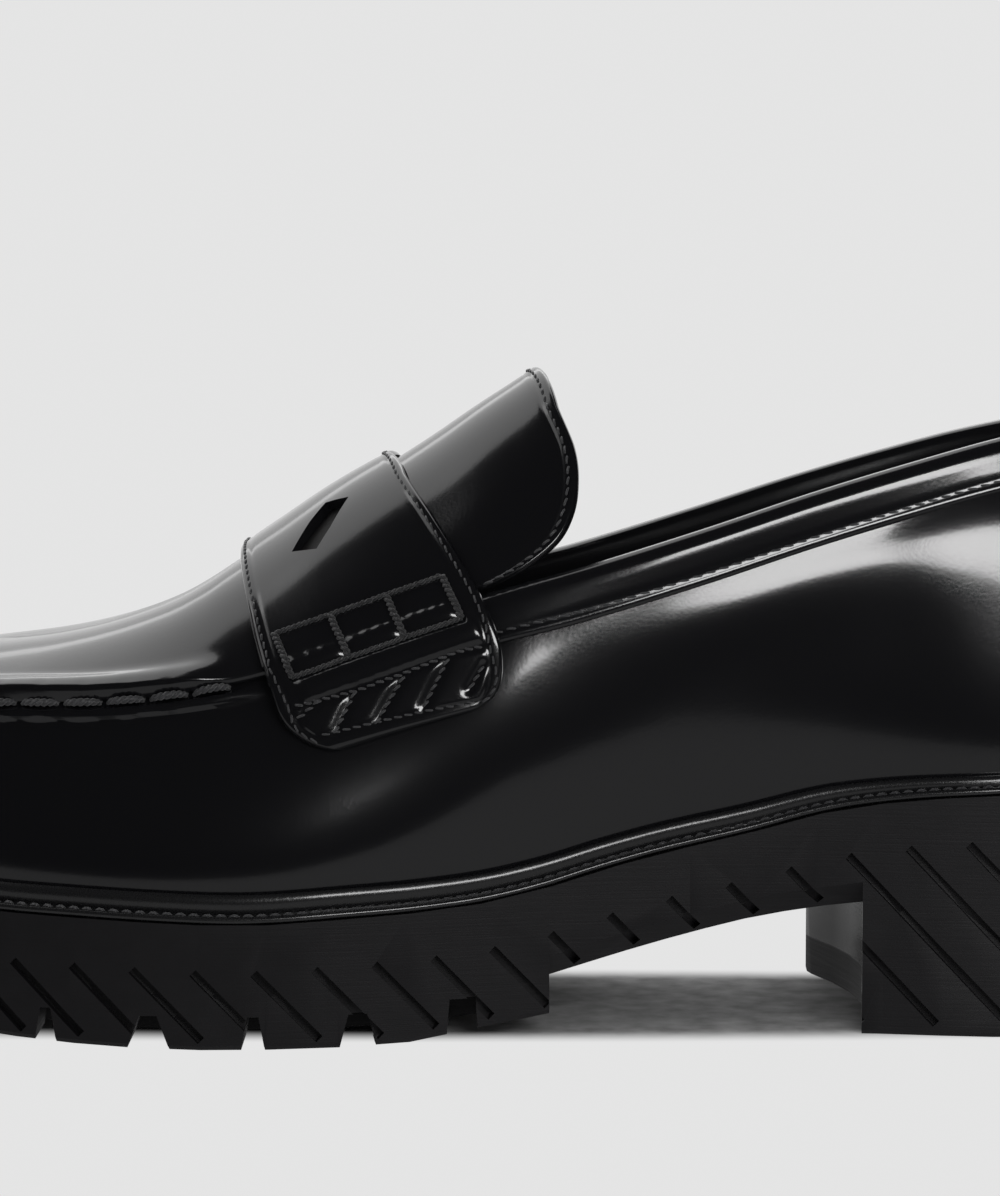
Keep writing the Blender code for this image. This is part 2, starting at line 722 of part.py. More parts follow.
def across_roof(stations, girths, base, top):
    """Two skins over the roof, from the lateral edge over the crest to the medial edge."""
    sides = [(girth, 1.0) for girth in girths] + [(girth, -1.0) for girth in girths[-2::-1]]
    outer = []
    inner = []
    for station in stations:
        for girth, side in sides:
            outer.append(raised(station, side, girth, top(station, girth)))
            inner.append(raised(station, side, girth, base))
    return np.array(outer), np.array(inner), len(sides)


def apron_lift(station, girth):
    """The apron's height over the shell: a rolled rim at its seam, flat under the strap."""
    rim = math.exp(-((girth - 1.07) / 0.07) ** 2) * float(blend(station, *APRON_RIM_START))
    return APRON_TOP + (APRON_RIM - APRON_TOP) * rim


def build_apron(parts, cutters):
    stations = stations_through(STATION_COUNT, (THROAT, APRON_BACK))
    stations = stations[stations >= APRON_BACK]
    girths = sorted(ROOF_ROWS + RIM_ROWS)
    outer, inner, columns = across_roof(stations, girths, APRON_BASE, apron_lift)
    quads = [quad[::-1] for quad in grid_quads(len(stations), columns)]
    return shell_between("apron", outer, inner, quads, parts)


def up_to_crest(edge, crest_x):
    """An edge continued from its last row to the crest in even turns."""
    start = np.array(edge[-1])
    end = np.array([float(station_of_crest(crest_x)), 2.0])
    return edge + [tuple(start + share * (end - start)) for share in (1 / 3, 2 / 3, 1.0)]


def mirrored_rows(front, back, spans):
    """Stations, girths and sides of a patch between two edge curves, lateral edge to medial."""
    rows = []
    for i in list(range(len(front))) + list(range(len(front) - 2, -1, -1)):
        side = 1.0 if len(rows) < len(front) else -1.0
        rows.append([(front[i][0] + t * (back[i][0] - front[i][0]),
                      front[i][1] + t * (back[i][1] - front[i][1]), side) for t in spans])
    return rows


def skins_over(rows, base, top):
    outer = []
    inner = []
    for row in rows:
        for station, girth, side in row:
            outer.append(raised(station, side, girth, top(girth)))
            inner.append(raised(station, side, girth, base(girth)))
    return np.array(outer), np.array(inner)


def strap_edges():
    """The strap's front and back edge as stations and girths, from its lower end to the crest."""
    steps = np.array([0, 0.06, 0.12, 0.2, 0.3, 0.4, 0.5, 0.6, 0.7, 0.8, 0.9])
    edges = []
    for edge, crest in (("front", STRAP_CREST[0]), ("back", STRAP_CREST[1])):
        x = ease(steps, STRAP["step"], STRAP[edge + "_x"])
        z = ease(steps, STRAP["step"], STRAP[edge + "_z"])
        station, girth = find_on_side(x, z, 1.0, strap_top)
        edges.append(up_to_crest(list(zip(station, girth)), crest))
    return edges


def strap_base(girth):
    return GAP + (STRAP_BRIDGE - GAP) * blend(girth, 0.7, 0.84)


def strap_top(girth):
    return STRAP_LOW + (STRAP_HIGH - STRAP_LOW) * blend(girth, 0.66, 0.96)


def tongue_base(girth):
    return np.full(np.shape(girth), TONGUE_BASE)


def tongue_top(girth):
    return np.full(np.shape(girth), TONGUE_TOP)


def slot_cutter(collection):
    """The two slanted slots of the strap, one on each side of its crest."""
    low = 1.2
    high = 7.0
    blocks = []
    for side in SIDES:
        ends = []
        for x, z in (SLOT_TOP, SLOT_FOOT):
            station, girth = find_on_side(x, z, side, strap_top)
            ends.append((upper_point(station, side, girth), upper_normal(station, side, girth)))
        along = ends[1][0] - ends[0][0]
        rings = []
        for point, normal in ends:
            across = np.cross(along, normal)
            across *= SLOT_WIDTH / 2 / np.linalg.norm(across)
            rings.append([point + normal * low - across, point + normal * low + across,
                          point + normal * high + across, point + normal * high - across])
        blocks.append(rings)
    return join_blocks("slot_cutter", blocks, collection)


def build_saddle_strap(parts, cutters):
    front, back = strap_edges()
    spans = np.linspace(0, 1, 7)
    rows = mirrored_rows(front, back, spans)
    outer, inner = skins_over(rows, strap_base, strap_top)
    strap = shell_between("saddle_strap", outer, inner, grid_quads(len(rows), len(spans)), parts)
    cut(strap, slot_cutter(cutters))
    return strap


def tongue_edges():
    steps = np.array([0, 0.12, 0.24, 0.37, 0.5, 0.63, 0.76, 0.9])
    x = ease(steps, TONGUE["step"], TONGUE["x"])
    z = ease(steps, TONGUE["step"], TONGUE["z"])
    station, girth = find_on_side(x, z, 1.0, tongue_top)
    back = up_to_crest(list(zip(station, girth)), TONGUE_CREST)
    lowest = 1.04
    front = [(TONGUE_FRONT, lowest + (2 - lowest) * share) for share in np.linspace(0, 1, len(back))]
    return front, back


def build_tongue(parts, cutters):
    front, back = tongue_edges()
    spans = np.linspace(0, 1, 7)
    rows = mirrored_rows(front, back, spans)
    outer, inner = skins_over(rows, tongue_base, tongue_top)
    return shell_between("tongue", outer, inner, grid_quads(len(rows), len(spans)), parts)


def wall_at_height(station, side, rise):
    """The shell's outer face a given height over its lower edge."""
    girths = np.linspace(0, 0.4, 60)
    points = upper_point(station, side, girths)
    heights = points[:, 2] - points[0, 2]
    return np.array([np.interp(rise, heights, points[:, i]) for i in range(3)])


def build_welt(parts, cutters):
    """The storm welt: a stitch ledge at the sole's edge and a rounded ridge against the upper."""
    edge_inset = 0.35
    ledge_height = 1.5
    ledge_width = 1.5
    ridge_width = 1.5
    rings = []
    for station, side in upper_columns(stations_through(STATION_COUNT, (THROAT, APRON_BACK))):
        ridge = float(ease(station, WELT["station"], WELT["ridge"]))
        share = station / LENGTH
        x = SOLE.back + share * (SOLE.front - SOLE.back)
        edge = np.array([x, float(SOLE.y(x, side)), 0.0])
        inward = np.array([float(SOLE.read(x, side, SOLE.inward[:, 0])),
                           float(SOLE.read(x, side, SOLE.inward[:, 1])), 0.0])
        foot = wall_at_height(station, side, 0.0)
        ring = []
        for inset, rise in ((edge_inset, 0.0), (edge_inset, ledge_height), (ledge_width, ledge_height)):
            point = edge + inward * inset
            ring.append([point[0], point[1], float(sole_top(point[0])) + GAP + rise])
        for back, rise in ((ridge_width, ridge - 0.5), (0.6, ridge), (0.0, ridge - 0.4), (0.0, ridge / 2),
                           (0.0, 0.0)):
            wall = wall_at_height(station, side, rise)
            point = wall - inward * (GAP + back)
            ring.append([point[0], point[1], foot[2] + rise])
        rings.append(ring)
    return loft("welt", rings, parts, closed=True)


def build_insole(parts, cutters):
    outline = FEATHER_LINE.inset(np.full(len(FEATHER_LINE.points), INSOLE_INSET))
    stations = stations_through(32)
    rings = [plan_ring(outline, stations, lambda x, rise=rise: sole_top(x) + rise)
             for rise in (GAP, GAP + INSOLE_THICK)]
    return slab("insole", rings, parts)


def topline_frame(station, side):
    """The topline point with the shell's outward normal and the way down its wall."""
    top = upper_point(station, side, 1.0)
    normal = upper_normal(station, side, 1.0)
    down = upper_point(station, side, 0.9) - top
    return top, normal, down / np.linalg.norm(down)


def build_collar_binding(parts, cutters):
    """The band folded over the topline, outside and inside."""
    stations = stations_through(48)
    lateral = stations[stations < BINDING_START]
    around = [(BINDING_START, 1.0)] + [(station, 1.0) for station in lateral[::-1]]
    around += [(station, -1.0) for station in lateral[1:]] + [(BINDING_START, -1.0)]
    inside = -UPPER_WALL - GAP
    rings = []
    for station, side in around:
        top, normal, down = topline_frame(station, side)
        length = np.linalg.norm(top - upper_point(station, side, 0.0))

        def on_wall(lift, drop):
            return raised(station, side, 1 - drop / length / 1.03, lift)

        ring = [on_wall(GAP, BINDING_DROP), on_wall(GAP + BINDING_THICK, BINDING_DROP),
                on_wall(GAP + BINDING_THICK, BINDING_DROP / 2), on_wall(GAP + BINDING_THICK, 0.6),
                top + normal * (GAP + 0.4) - down * (GAP + BINDING_THICK),
                top + normal * (inside - 0.4) - down * (GAP + BINDING_THICK),
                on_wall(inside - BINDING_THICK, 0.6), on_wall(inside - BINDING_THICK, BINDING_INNER_DROP),
                on_wall(inside, BINDING_INNER_DROP), top + normal * inside - down * GAP,
                top + normal * GAP - down * GAP, on_wall(GAP, BINDING_DROP / 2)]
        rings.append(ring)
    return loft("collar_binding", rings, parts)


FINISHES = {
    "shine_leather": ((0.006, 0.006, 0.007), 0.18),
    "edge_leather": ((0.008, 0.008, 0.009), 0.3),
    "rubber": ((0.011, 0.010, 0.012), 0.5),
    "lining": ((0.02, 0.018, 0.018), 0.6),
}
PIECES = (
    (build_lug_sole, "rubber"),
    (build_welt, "edge_leather"),
    (build_upper, "shine_leather"),
    (build_apron, "shine_leather"),
    (build_saddle_strap, "shine_leather"),
    (build_tongue, "shine_leather"),
    (build_collar_binding, "shine_leather"),
    (build_insole, "lining"),
)


def make_material(name, colour, roughness):
    material = bpy.data.materials.new(name)
    material.use_nodes = True
    shader = material.node_tree.nodes["Principled BSDF"]
    shader.inputs["Base Color"].default_value = (*colour, 1.0)
    shader.inputs["Roughness"].default_value = roughness
    shader.inputs["Metallic"].default_value = 0.0
    return material


def main():
    for item in list(bpy.data.objects):
        bpy.data.objects.remove(item)
    parts = bpy.data.collections.new("lug_sole_loafer")
    cutters = bpy.data.collections.new("cutters")
    for collection in (parts, cutters):
        bpy.context.scene.collection.children.link(collection)
    finishes = {name: make_material(name, *values) for name, values in FINISHES.items()}
    for build, finish in PIECES:
        piece = build(parts, cutters)
        piece.data.materials.append(finishes[finish])


main()
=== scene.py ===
"""Chunky lug sole loafer: leather, linings, stitches, rubber and the studio round them.

Sizes are shoe millimetres: x forward from the back of the heel, y to the outer side, z up.
"""
import math

import bmesh
import bpy
import numpy as np
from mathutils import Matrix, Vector

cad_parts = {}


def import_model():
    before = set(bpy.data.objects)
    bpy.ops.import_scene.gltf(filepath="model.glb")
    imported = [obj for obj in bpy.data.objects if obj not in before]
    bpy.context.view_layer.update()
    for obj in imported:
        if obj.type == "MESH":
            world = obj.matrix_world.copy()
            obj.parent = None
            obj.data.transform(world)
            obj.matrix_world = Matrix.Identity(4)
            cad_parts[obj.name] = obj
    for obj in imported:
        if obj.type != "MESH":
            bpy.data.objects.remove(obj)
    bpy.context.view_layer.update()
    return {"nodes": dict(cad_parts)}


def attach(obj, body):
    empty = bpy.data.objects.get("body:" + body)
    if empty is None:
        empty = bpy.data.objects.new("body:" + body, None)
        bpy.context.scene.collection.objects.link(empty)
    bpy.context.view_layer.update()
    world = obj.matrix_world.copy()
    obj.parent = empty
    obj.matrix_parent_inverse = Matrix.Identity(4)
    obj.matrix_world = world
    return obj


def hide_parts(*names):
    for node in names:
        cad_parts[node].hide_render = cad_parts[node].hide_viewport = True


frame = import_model()

MM = 0.001
LENGTH = 300.0
GAP = 0.3

# The sole seen from above: half widths to the outer (lateral) and inner (medial) side.
SOLE_TIP_Y = -7.0
SOLE_PLAN = {
    "x": (8, 25, 48, 76, 100, 120, 140, 165, 188, 208, 230, 255, 275, 291),
    "lateral": (21.5, 34.0, 38.0, 34.0, 33.5, 35.0, 38.5, 45.0, 50.0, 51.0, 49.0, 43.0, 33.5, 17.5),
    "medial": (21.5, 33.5, 37.5, 36.0, 33.0, 32.5, 35.5, 44.5, 53.0, 57.0, 56.8, 52.0, 44.5, 31.0),
}

# The sole seen from the side: the edge that carries the welt.
SOLE_TOP = {
    "x": (0, 25, 49, 67, 82, 97, 117, 127, 138, 148, 162, 176, 196, 213, 228, 243, 272, 300),
    "z": (49.5, 48.8, 47.7, 46.3, 43.9, 39.9, 35.3, 32.6, 29.4, 27.3, 25.8, 25.1, 24.3, 24.9, 25.7,
          26.5, 29.6, 34.0),
}

# Insets of the upper's lower edge from the sole's edge, at the heel, waist and toe.
FEATHER = {
    "x": (0, 40, 80, 120, 160, 200, 250, 300),
    "inset": (3.6, 3.8, 4.2, 4.6, 4.8, 5.0, 5.0, 5.2),
}

# The shoulder line seen from above: the topline at the quarters, and the moccasin seam at the toe.
SHOULDER_BACK = 12.0
SHOULDER_FRONT = 284.0
SHOULDER_TIP_Y = -6.5
SHOULDER_PLAN = {
    "x": (16.5, 30, 48, 84, 106, 131, 150, 165, 180, 200, 220, 244, 262, 276.5),
    "lateral": (11.5, 21.5, 27.0, 31.0, 33.0, 34.0, 33.5, 32.5, 33.0, 35.0, 36.5, 35.0, 30.0, 18.5),
    "medial": (11.5, 21.5, 27.0, 31.0, 32.5, 33.0, 33.0, 33.0, 34.5, 38.5, 41.0, 40.5, 37.0, 28.0),
}
SHOULDER_SIDE = {
    "x": (12, 20, 32, 48, 66, 84, 106, 131, 150, 165, 180, 195, 206, 222, 244, 262, 284),
    "z": (120.4, 120.2, 118.8, 115.5, 110.6, 105.2, 98.0, 90.4, 85.2, 80.0, 74.4, 69.8, 67.8, 66.3,
          66.0, 65.4, 62.5),
}
# How a station of the sole (0 to 300) meets the shoulder line and the crest.
STATION = {
    "sole": (0, 30, 60, 130, 150, 170, 190, 210, 230, 250, 270, 285, 300),
    "shoulder": (12, 34.5, 61.5, 130, 150, 170, 190, 209.5, 227.5, 245.5, 262.5, 274.5, 284),
    "crest": (-5, 25, 60, 130, 150, 169.5, 187.5, 203, 217, 229, 238, 242.5, 245),
}
# How the leather rises: outward swell of the wall, its lean at the shoulder, the roof's start.
RISE = {
    "sole": (0, 30, 60, 90, 130, 150, 175, 200, 220, 240, 270, 300),
    "swell": (7.5, 5.5, 4.5, 5.0, 6.0, 6.0, 5.5, 5.0, 5.0, 5.0, 5.0, 5.0),
    "wall_lean": (66, 76, 83, 86, 78, 66, 62, 66, 78, 84, 84, 84),
    "roof_lean": (60, 60, 60, 60, 64, 64, 60, 46, 33, 24, 20, 24),
}
CREST = {
    "x": (131, 139, 142, 150, 158, 168.6, 178, 187, 195, 199, 202.5, 207.6, 216, 224, 232, 240, 246),
    "z": (132.6, 127.8, 125.8, 120.6, 115.1, 108.2, 102.1, 96.1, 91.2, 88.5, 86.0, 82.8, 79.0, 76.3,
          74.4, 73.1, 72.5),
}
CREST_Y = {"x": (100, 139, 165, 200, 246), "y": (-1.0, -2.0, -3.0, -5.0, -6.0)}
# How long the curves of wall and roof keep their end directions, as a share of their span.
WALL_BOW = 0.33
ROOF_BOW = 0.44
# The lip under the moccasin seam: its height, its depth under the seam and where it starts.
LIP_HEIGHT = 1.0
LIP_DROP = 3.0
SEAM_START = 196.0

# Thicknesses of the leather pieces and how high each lies over the shell's outer face.
UPPER_WALL = 2.2
APRON_BASE = 0.3
APRON_TOP = 1.9
APRON_RIM = 3.3
APRON_BACK = 186.5
APRON_RIM_START = (198.0, 208.0)
THROAT = 172.0
TONGUE_FRONT = 184.5
TONGUE_BASE = 0.5
TONGUE_TOP = 2.1

# The strap's two edges seen from the side, from its lower end up to the crest.
STRAP = {
    "step": (0, 0.12, 0.3, 0.5, 0.7, 0.85, 0.94),
    "front_x": (182.6, 187.4, 190.8, 194.2, 196.8, 198.2, 198.8),
    "front_z": (56.3, 61.6, 69.0, 78.0, 86.0, 90.6, 92.6),
    "back_x": (149.0, 146.4, 145.8, 148.6, 154.6, 161.0, 165.6),
    "back_z": (65.5, 69.0, 75.6, 84.4, 94.6, 104.0, 110.0),
}
# Where both edges cross the crest, and the heights of the strap's face and underside.
STRAP_CREST = (196.5, 166.4)
STRAP_LOW = 2.4
STRAP_HIGH = 4.4
STRAP_BRIDGE = 2.75

# The tongue's free edge seen from the side, from its lower corner up to the crest.
TONGUE = {
    "step": (0, 0.15, 0.3, 0.45, 0.6, 0.75, 0.9),
    "x": (149.0, 141.0, 134.8, 131.8, 130.8, 131.6, 135.0),
    "z": (88.4, 92.4, 97.4, 103.0, 109.4, 115.4, 123.4),
}
TONGUE_CREST = 137.9

# Slots of the strap: their ends on the outer side, mirrored to the inner side.
SLOT_TOP = (178.6, 103.6)
SLOT_FOOT = (184.8, 94.2)
SLOT_WIDTH = 4.6
SLOT_SLANT = 0.75

# The collar band: how far it reaches down outside and inside, and its thickness.
BINDING_DROP = 9.5
BINDING_INNER_DROP = 6.0
BINDING_THICK = 1.3

SIDES = (1.0, -1.0)
# Height of the welt's ridge along the shoe.
WELT = {
    "station": (0, 60, 90, 120, 300),
    "ridge": (3.7, 3.7, 4.6, 5.0, 5.0),
}
# Distance of the hand stitches along the seam, and half the length of each.
HAND_PITCH = 8.4
HAND_HALF = 3.5
# Distances of the stitch rows from the edges, and each row's pitch, cover, thickness and slant.
STRAP_STITCH = 2.4
TONGUE_STITCH = 3.0
BAND_STITCH = 2.1
STRAP_ROW = (2.1, 0.74, 0.2, 0.1)
QUILT_ROW = (1.9, 0.78, 0.24, 0.16)
TONGUE_ROW = (2.3, 0.72, 0.22, 0.1)
COLLAR_ROW = (2.7, 0.7, 0.2, 0.1)
WELT_ROW = (2.6, 0.74, 0.34, 0.14)
# The hand stitches end at this station, and rise so far over the seam along their length.
HAND_END = 197.0
HAND_ARCH = (-0.3, 0.9, 1.35, 1.45, 1.35, 0.9, -0.3)
# Pitch of the twist of the hand stitches and of the ladder's cords.
HAND_TWIST = 2.6
CORD_TWIST = 2.2
# The station of the collar band's ends.
BAND_START = 151.0
# Heights of the strap's puffed panels and of its soft crown.
PUFF = 0.7
STRAP_CROWN = 0.9
# The quarter's soft swell under the collar band: its height, and the depth under the band.
QUARTER_SWELL = 0.85
SWELL_DEPTH = 7.0
# Its reach up and down, what both gain behind, and the stations between which it changes.
SWELL_REACH = (6.0, 11.0)
SWELL_REACH_BEHIND = (5.0, 7.0)
SWELL_BEHIND = (50, 74)
SWELL_FRONT = (92, 134)

# Soft creases: station, lowest and highest girth, lean, depth and half width.
CREASES = (
    (212, 0.45, 0.9, 10, 0.10, 3.0),
    (224, 0.4, 0.85, 12, 0.12, 3.5),
    (140, 0.5, 0.95, -8, 0.10, 5.0),
    (46, 0.35, 0.8, 6, 0.12, 4.0),
)

# The ladder of three panels on the strap's end: first corner, and the way along and down it.
LADDER_CORNER = (190.2, 78.9)
LADDER_ALONG = (-32.7, 11.5)
LADDER_DOWN = (-3.8, -7.8)
# Its size, and the depth and width of the beds of its cords.
LADDER_LENGTH = 34.7
LADDER_HEIGHT = 8.4
CORD_BED = (0.35, 0.9)
# The roll under the ladder: its place and half its height, in heights of the ladder.
ROLL = (1.36, 0.27)
# The stitched lines under the roll, and the depth and width of their valleys.
QUILT_TOP = [(186.0, 65.6), (173.8, 68.7), (165.1, 71.9), (154.8, 76.1), (149.6, 77.3)]
QUILT_ROWS = [[(185.5, 63.1), (180.9, 67.1)], [(178.2, 60.4), (174.2, 68.7)],
              [(170.3, 62.2), (164.8, 71.6)], [(161.0, 65.4), (156.2, 75.0)],
              [(152.2, 68.9), (149.4, 73.6)]]
QUILT_DEPTH = 0.55
QUILT_WIDTH = 0.95
UP = np.array([0.0, 0.0, 1.0])
# Tone of the backdrop and of its light on the sole.
PALE = 0.78
BOUNCE = 0.26
# Floors: half width, reach forward and back, and height, in metres.
FLOORS = {"floor_near": (0.45, 0.23, 0.4, 0.0),
          "floor_bounce": (0.9, 0.24, 1.3, -0.0004),
          "floor_far": (30.0, 30.0, 30.0, -0.0008)}
CAMERA_PLACE = (-0.0038, 0.7982, 0.1521)
CAMERA_PITCH = 4.957
SENSOR = 36.0
LENS = 118.0
# Light panels: place, the point that each faces, width and height, and power.
LIGHTS = (
    ("top_panel", (0.25, -0.6, 0.9), (0.02, 0.0, 0.06), (1.8, 1.05), 7.0),
    ("toe_panel", (0.92, 0.15, 0.75), (0.03, 0.0, 0.08), (0.6, 0.8), 1.5),
    ("back_panel", (0.2, -1.25, 0.42), (0.1, 0.0, 0.42), (3.2, 0.9), 7.0),
    ("side_panel", (-0.154, 0.365, 0.183), (-0.08, 0.035, 0.095), (0.2, 0.096), 0.63),
)


def ease(x, table_x, table_y):
    """Smooth value of a table at x, with the table's own slopes at its rows."""
    table_x = np.asarray(table_x, float)
    table_y = np.asarray(table_y, float)
    x = np.clip(np.asarray(x, float), table_x[0], table_x[-1])
    row = np.clip(np.searchsorted(table_x, x, side="right") - 1, 0, len(table_x) - 2)
    slope = np.gradient(table_y, table_x)
    span = table_x[row + 1] - table_x[row]
    t = (x - table_x[row]) / span
    start = (1 + 2 * t) * (1 - t) ** 2 * table_y[row] + t * (1 - t) ** 2 * span * slope[row]
    end = t * t * (3 - 2 * t) * table_y[row + 1] + t * t * (t - 1) * span * slope[row + 1]
    return start + end


def blend(x, low, high):
    """Ease from 0 at low to 1 at high."""
    t = np.clip((np.asarray(x, float) - low) / (high - low), 0.0, 1.0)
    return t * t * (3 - 2 * t)


def unit(vectors):
    return vectors / np.maximum(np.linalg.norm(vectors, axis=-1), 1e-9)[..., None]


def closed_curve(corners, count):
    """Points along the smooth closed curve through the corners."""
    corners = np.array(corners, float)
    after = np.roll(corners, -1, axis=0)
    step = np.linalg.norm(after - corners, axis=1)
    before_step = np.roll(step, 1)
    slope = (after - corners) / step[:, None]
    size = len(corners)
    matrix = np.zeros((size, size))
    for i in range(size):
        matrix[i, i - 1] = before_step[i]
        matrix[i, i] = 2 * (before_step[i] + step[i])
        matrix[i, (i + 1) % size] = step[i]
    bend = np.linalg.solve(matrix, 6 * (slope - np.roll(slope, 1, axis=0)))
    bend_after = np.roll(bend, -1, axis=0)
    places = np.linspace(0, size, count, endpoint=False)
    i = places.astype(int)
    t = (places - i)[:, None]
    h = step[i][:, None]
    straight = (1 - t) * corners[i] + t * after[i]
    curved = ((1 - t) ** 3 - (1 - t)) * bend[i] + (t ** 3 - t) * bend_after[i]
    return straight + h * h / 6 * curved


class Outline:
    """A closed plan outline, read as half widths on both sides of the shoe."""

    def __init__(self, points):
        self.points = points
        ahead = unit(np.roll(points, -1, axis=0) - np.roll(points, 1, axis=0))
        self.inward = np.stack([ahead[:, 1], -ahead[:, 0]], axis=1)
        back = int(np.argmin(points[:, 0]))
        order = np.roll(np.arange(len(points)), -back)
        front = int(np.argmax(points[order, 0]))
        self.halves = {1.0: order[:front + 1], -1.0: np.append(order[front:], order[0])[::-1]}
        self.back = points[back, 0]
        self.front = points[order[front], 0]

    def read(self, x, side, values):
        half = self.halves[side]
        return np.interp(x, self.points[half, 0], values[half])

    def y(self, x, side):
        return self.read(x, side, self.points[:, 1])

    def inward_at(self, x, side):
        return np.stack([self.read(x, side, self.inward[:, 0]), self.read(x, side, self.inward[:, 1]),
                         np.zeros_like(x)], axis=-1)

    def inset(self, amount):
        """The outline moved inward by an amount that may change along the shoe."""
        return Outline(self.points + self.inward * np.reshape(amount, (-1, 1)))


def plan_outline(plan, back, front, tip_y, count=1600):
    lateral = list(zip(plan["x"], plan["lateral"]))
    medial = [(x, -y) for x, y in zip(plan["x"], plan["medial"])]
    return Outline(closed_curve([(back, 0.0)] + lateral + [(front, tip_y)] + medial[::-1], count))


SOLE = plan_outline(SOLE_PLAN, 0.0, LENGTH, SOLE_TIP_Y)
FEATHER_LINE = SOLE.inset(ease(SOLE.points[:, 0], FEATHER["x"], FEATHER["inset"]))
SHOULDER_LINE = plan_outline(SHOULDER_PLAN, SHOULDER_BACK, SHOULDER_FRONT, SHOULDER_TIP_Y)
CENTRE_Y = (SOLE.points[:, 1].max() + SOLE.points[:, 1].min()) / 2


def sole_top(x):
    return ease(x, SOLE_TOP["x"], SOLE_TOP["z"])


def upper_point(station, side, girth):
    """A point of the shell's outer face.

    The station runs 0 to 300 along the sole. The girth runs 0 to 1 from the sole up the wall to
    the shoulder line, and 1 to 2 over the roof to the crest.
    """
    station, girth = np.broadcast_arrays(np.asarray(station, float), np.asarray(girth, float))
    share = np.clip(station / LENGTH, 0, 1)
    foot_x = FEATHER_LINE.back + share * (FEATHER_LINE.front - FEATHER_LINE.back)
    foot = np.stack([foot_x, FEATHER_LINE.y(foot_x, side), sole_top(foot_x) + GAP], axis=-1)
    inward = FEATHER_LINE.inward_at(foot_x, side)
    top_share = ((ease(station, STATION["sole"], STATION["shoulder"]) - SHOULDER_BACK)
                 / (SHOULDER_FRONT - SHOULDER_BACK))
    top_x = SHOULDER_LINE.back + top_share * (SHOULDER_LINE.front - SHOULDER_LINE.back)
    top = np.stack([top_x, SHOULDER_LINE.y(top_x, side),
                    ease(top_x, SHOULDER_SIDE["x"], SHOULDER_SIDE["z"])], axis=-1)
    crest_x = ease(station, STATION["sole"], STATION["crest"])
    crest = np.stack([crest_x, ease(crest_x, CREST_Y["x"], CREST_Y["y"]),
                      ease(crest_x, CREST["x"], CREST["z"])], axis=-1)

    def lean(name):
        angle = np.radians(ease(station, RISE["sole"], RISE[name]))
        return np.cos(angle)[..., None], np.sin(angle)[..., None]

    swell = ease(station, RISE["sole"], RISE["swell"])[..., None]
    reach = np.linalg.norm(top - foot, axis=-1)[..., None] * WALL_BOW
    flat, steep = lean("wall_lean")
    wall = bezier(foot, foot + UP * reach - inward * swell,
                  top - (inward * flat + UP * steep) * reach, top, np.clip(girth, 0, 1))
    across = crest - top
    across[..., 2] = 0
    width = np.linalg.norm(across, axis=-1)[..., None]
    across = across / np.maximum(width, 1e-6)
    flat, steep = lean("roof_lean")
    reach = np.linalg.norm(crest - top, axis=-1)[..., None] * ROOF_BOW
    roof = bezier(top, top + (across * flat + UP * steep) * reach,
                  crest - across * width * ROOF_BOW, crest, np.clip(girth - 1, 0, 1))
    return np.where((girth > 1)[..., None], roof, wall)


def bezier(start, first, second, end, t):
    t = t[..., None]
    return ((1 - t) ** 3 * start + 3 * (1 - t) ** 2 * t * first
            + 3 * (1 - t) * t * t * second + t ** 3 * end)


def point_around(station, side, girth):
    """A point of the shell whose station may run past the toe or heel onto the other side."""
    past = (station > LENGTH) | (station < 0)
    folded = np.where(station > LENGTH, 2 * LENGTH - station, np.abs(station))
    return np.where(past[..., None], upper_point(folded, -side, girth), upper_point(folded, side, girth))


def upper_normal(station, side, girth):
    """The outward direction of the shell at a point."""
    station, girth = np.broadcast_arrays(np.asarray(station, float), np.asarray(girth, float))
    small = 0.4
    turn = 0.004
    off_crest = np.minimum(girth, 1.96)
    along = (point_around(station + small, side, off_crest)
             - point_around(station - small, side, off_crest))
    low = np.where(girth > 1, np.maximum(girth - turn, 1.0001), np.clip(girth - turn, 0, 1))
    high = np.where(girth > 1, np.minimum(girth + turn, 2), np.clip(girth + turn, 0, 1))
    climb = upper_point(station, side, high) - upper_point(station, side, low)
    return unit(np.cross(along, climb) * -side)


def raised(station, side, girth, lift):
    """A point that lies a given height over the shell's outer face."""
    return upper_point(station, side, girth) + upper_normal(station, side, girth) * np.reshape(
        lift, np.shape(lift) + (1,))


def find_on_side(x, z, side, lift):
    """Station and girth whose point, raised by the lift, shows at x and z from the side."""
    x = np.asarray(x, float)
    z = np.asarray(z, float)
    station = x.copy()
    for _ in range(6):
        low = np.zeros_like(x)
        high = np.full_like(x, 2.0)
        for _ in range(18):
            girth = (low + high) / 2
            below = raised(station, side, girth, lift(girth))[..., 2] < z
            low = np.where(below, girth, low)
            high = np.where(below, high, girth)
        station = station + x - raised(station, side, girth, lift(girth))[..., 0]
    return station, girth


def station_of_crest(x):
    return np.interp(x, STATION["crest"], STATION["sole"])


def stations_through(count, exact=()):
    """Stations from heel to toe, closer at both ends, with the nearest moved to exact places."""
    stations = LENGTH * (1 - np.cos(np.pi * np.arange(count + 1) / count)) / 2
    for x in exact:
        stations[np.argmin(abs(stations - x))] = x
    return stations


def strap_base(girth):
    return GAP + (STRAP_BRIDGE - GAP) * blend(girth, 0.7, 0.84)


def strap_top(girth):
    return STRAP_LOW + (STRAP_HIGH - STRAP_LOW) * blend(girth, 0.66, 0.96)


def tongue_top(girth):
    return np.full(np.shape(girth), TONGUE_TOP)


def world(points):
    """Shoe millimetres to metres in the frame."""
    return (np.asarray(points, float) - (LENGTH / 2, CENTRE_Y, 0.0)) * MM


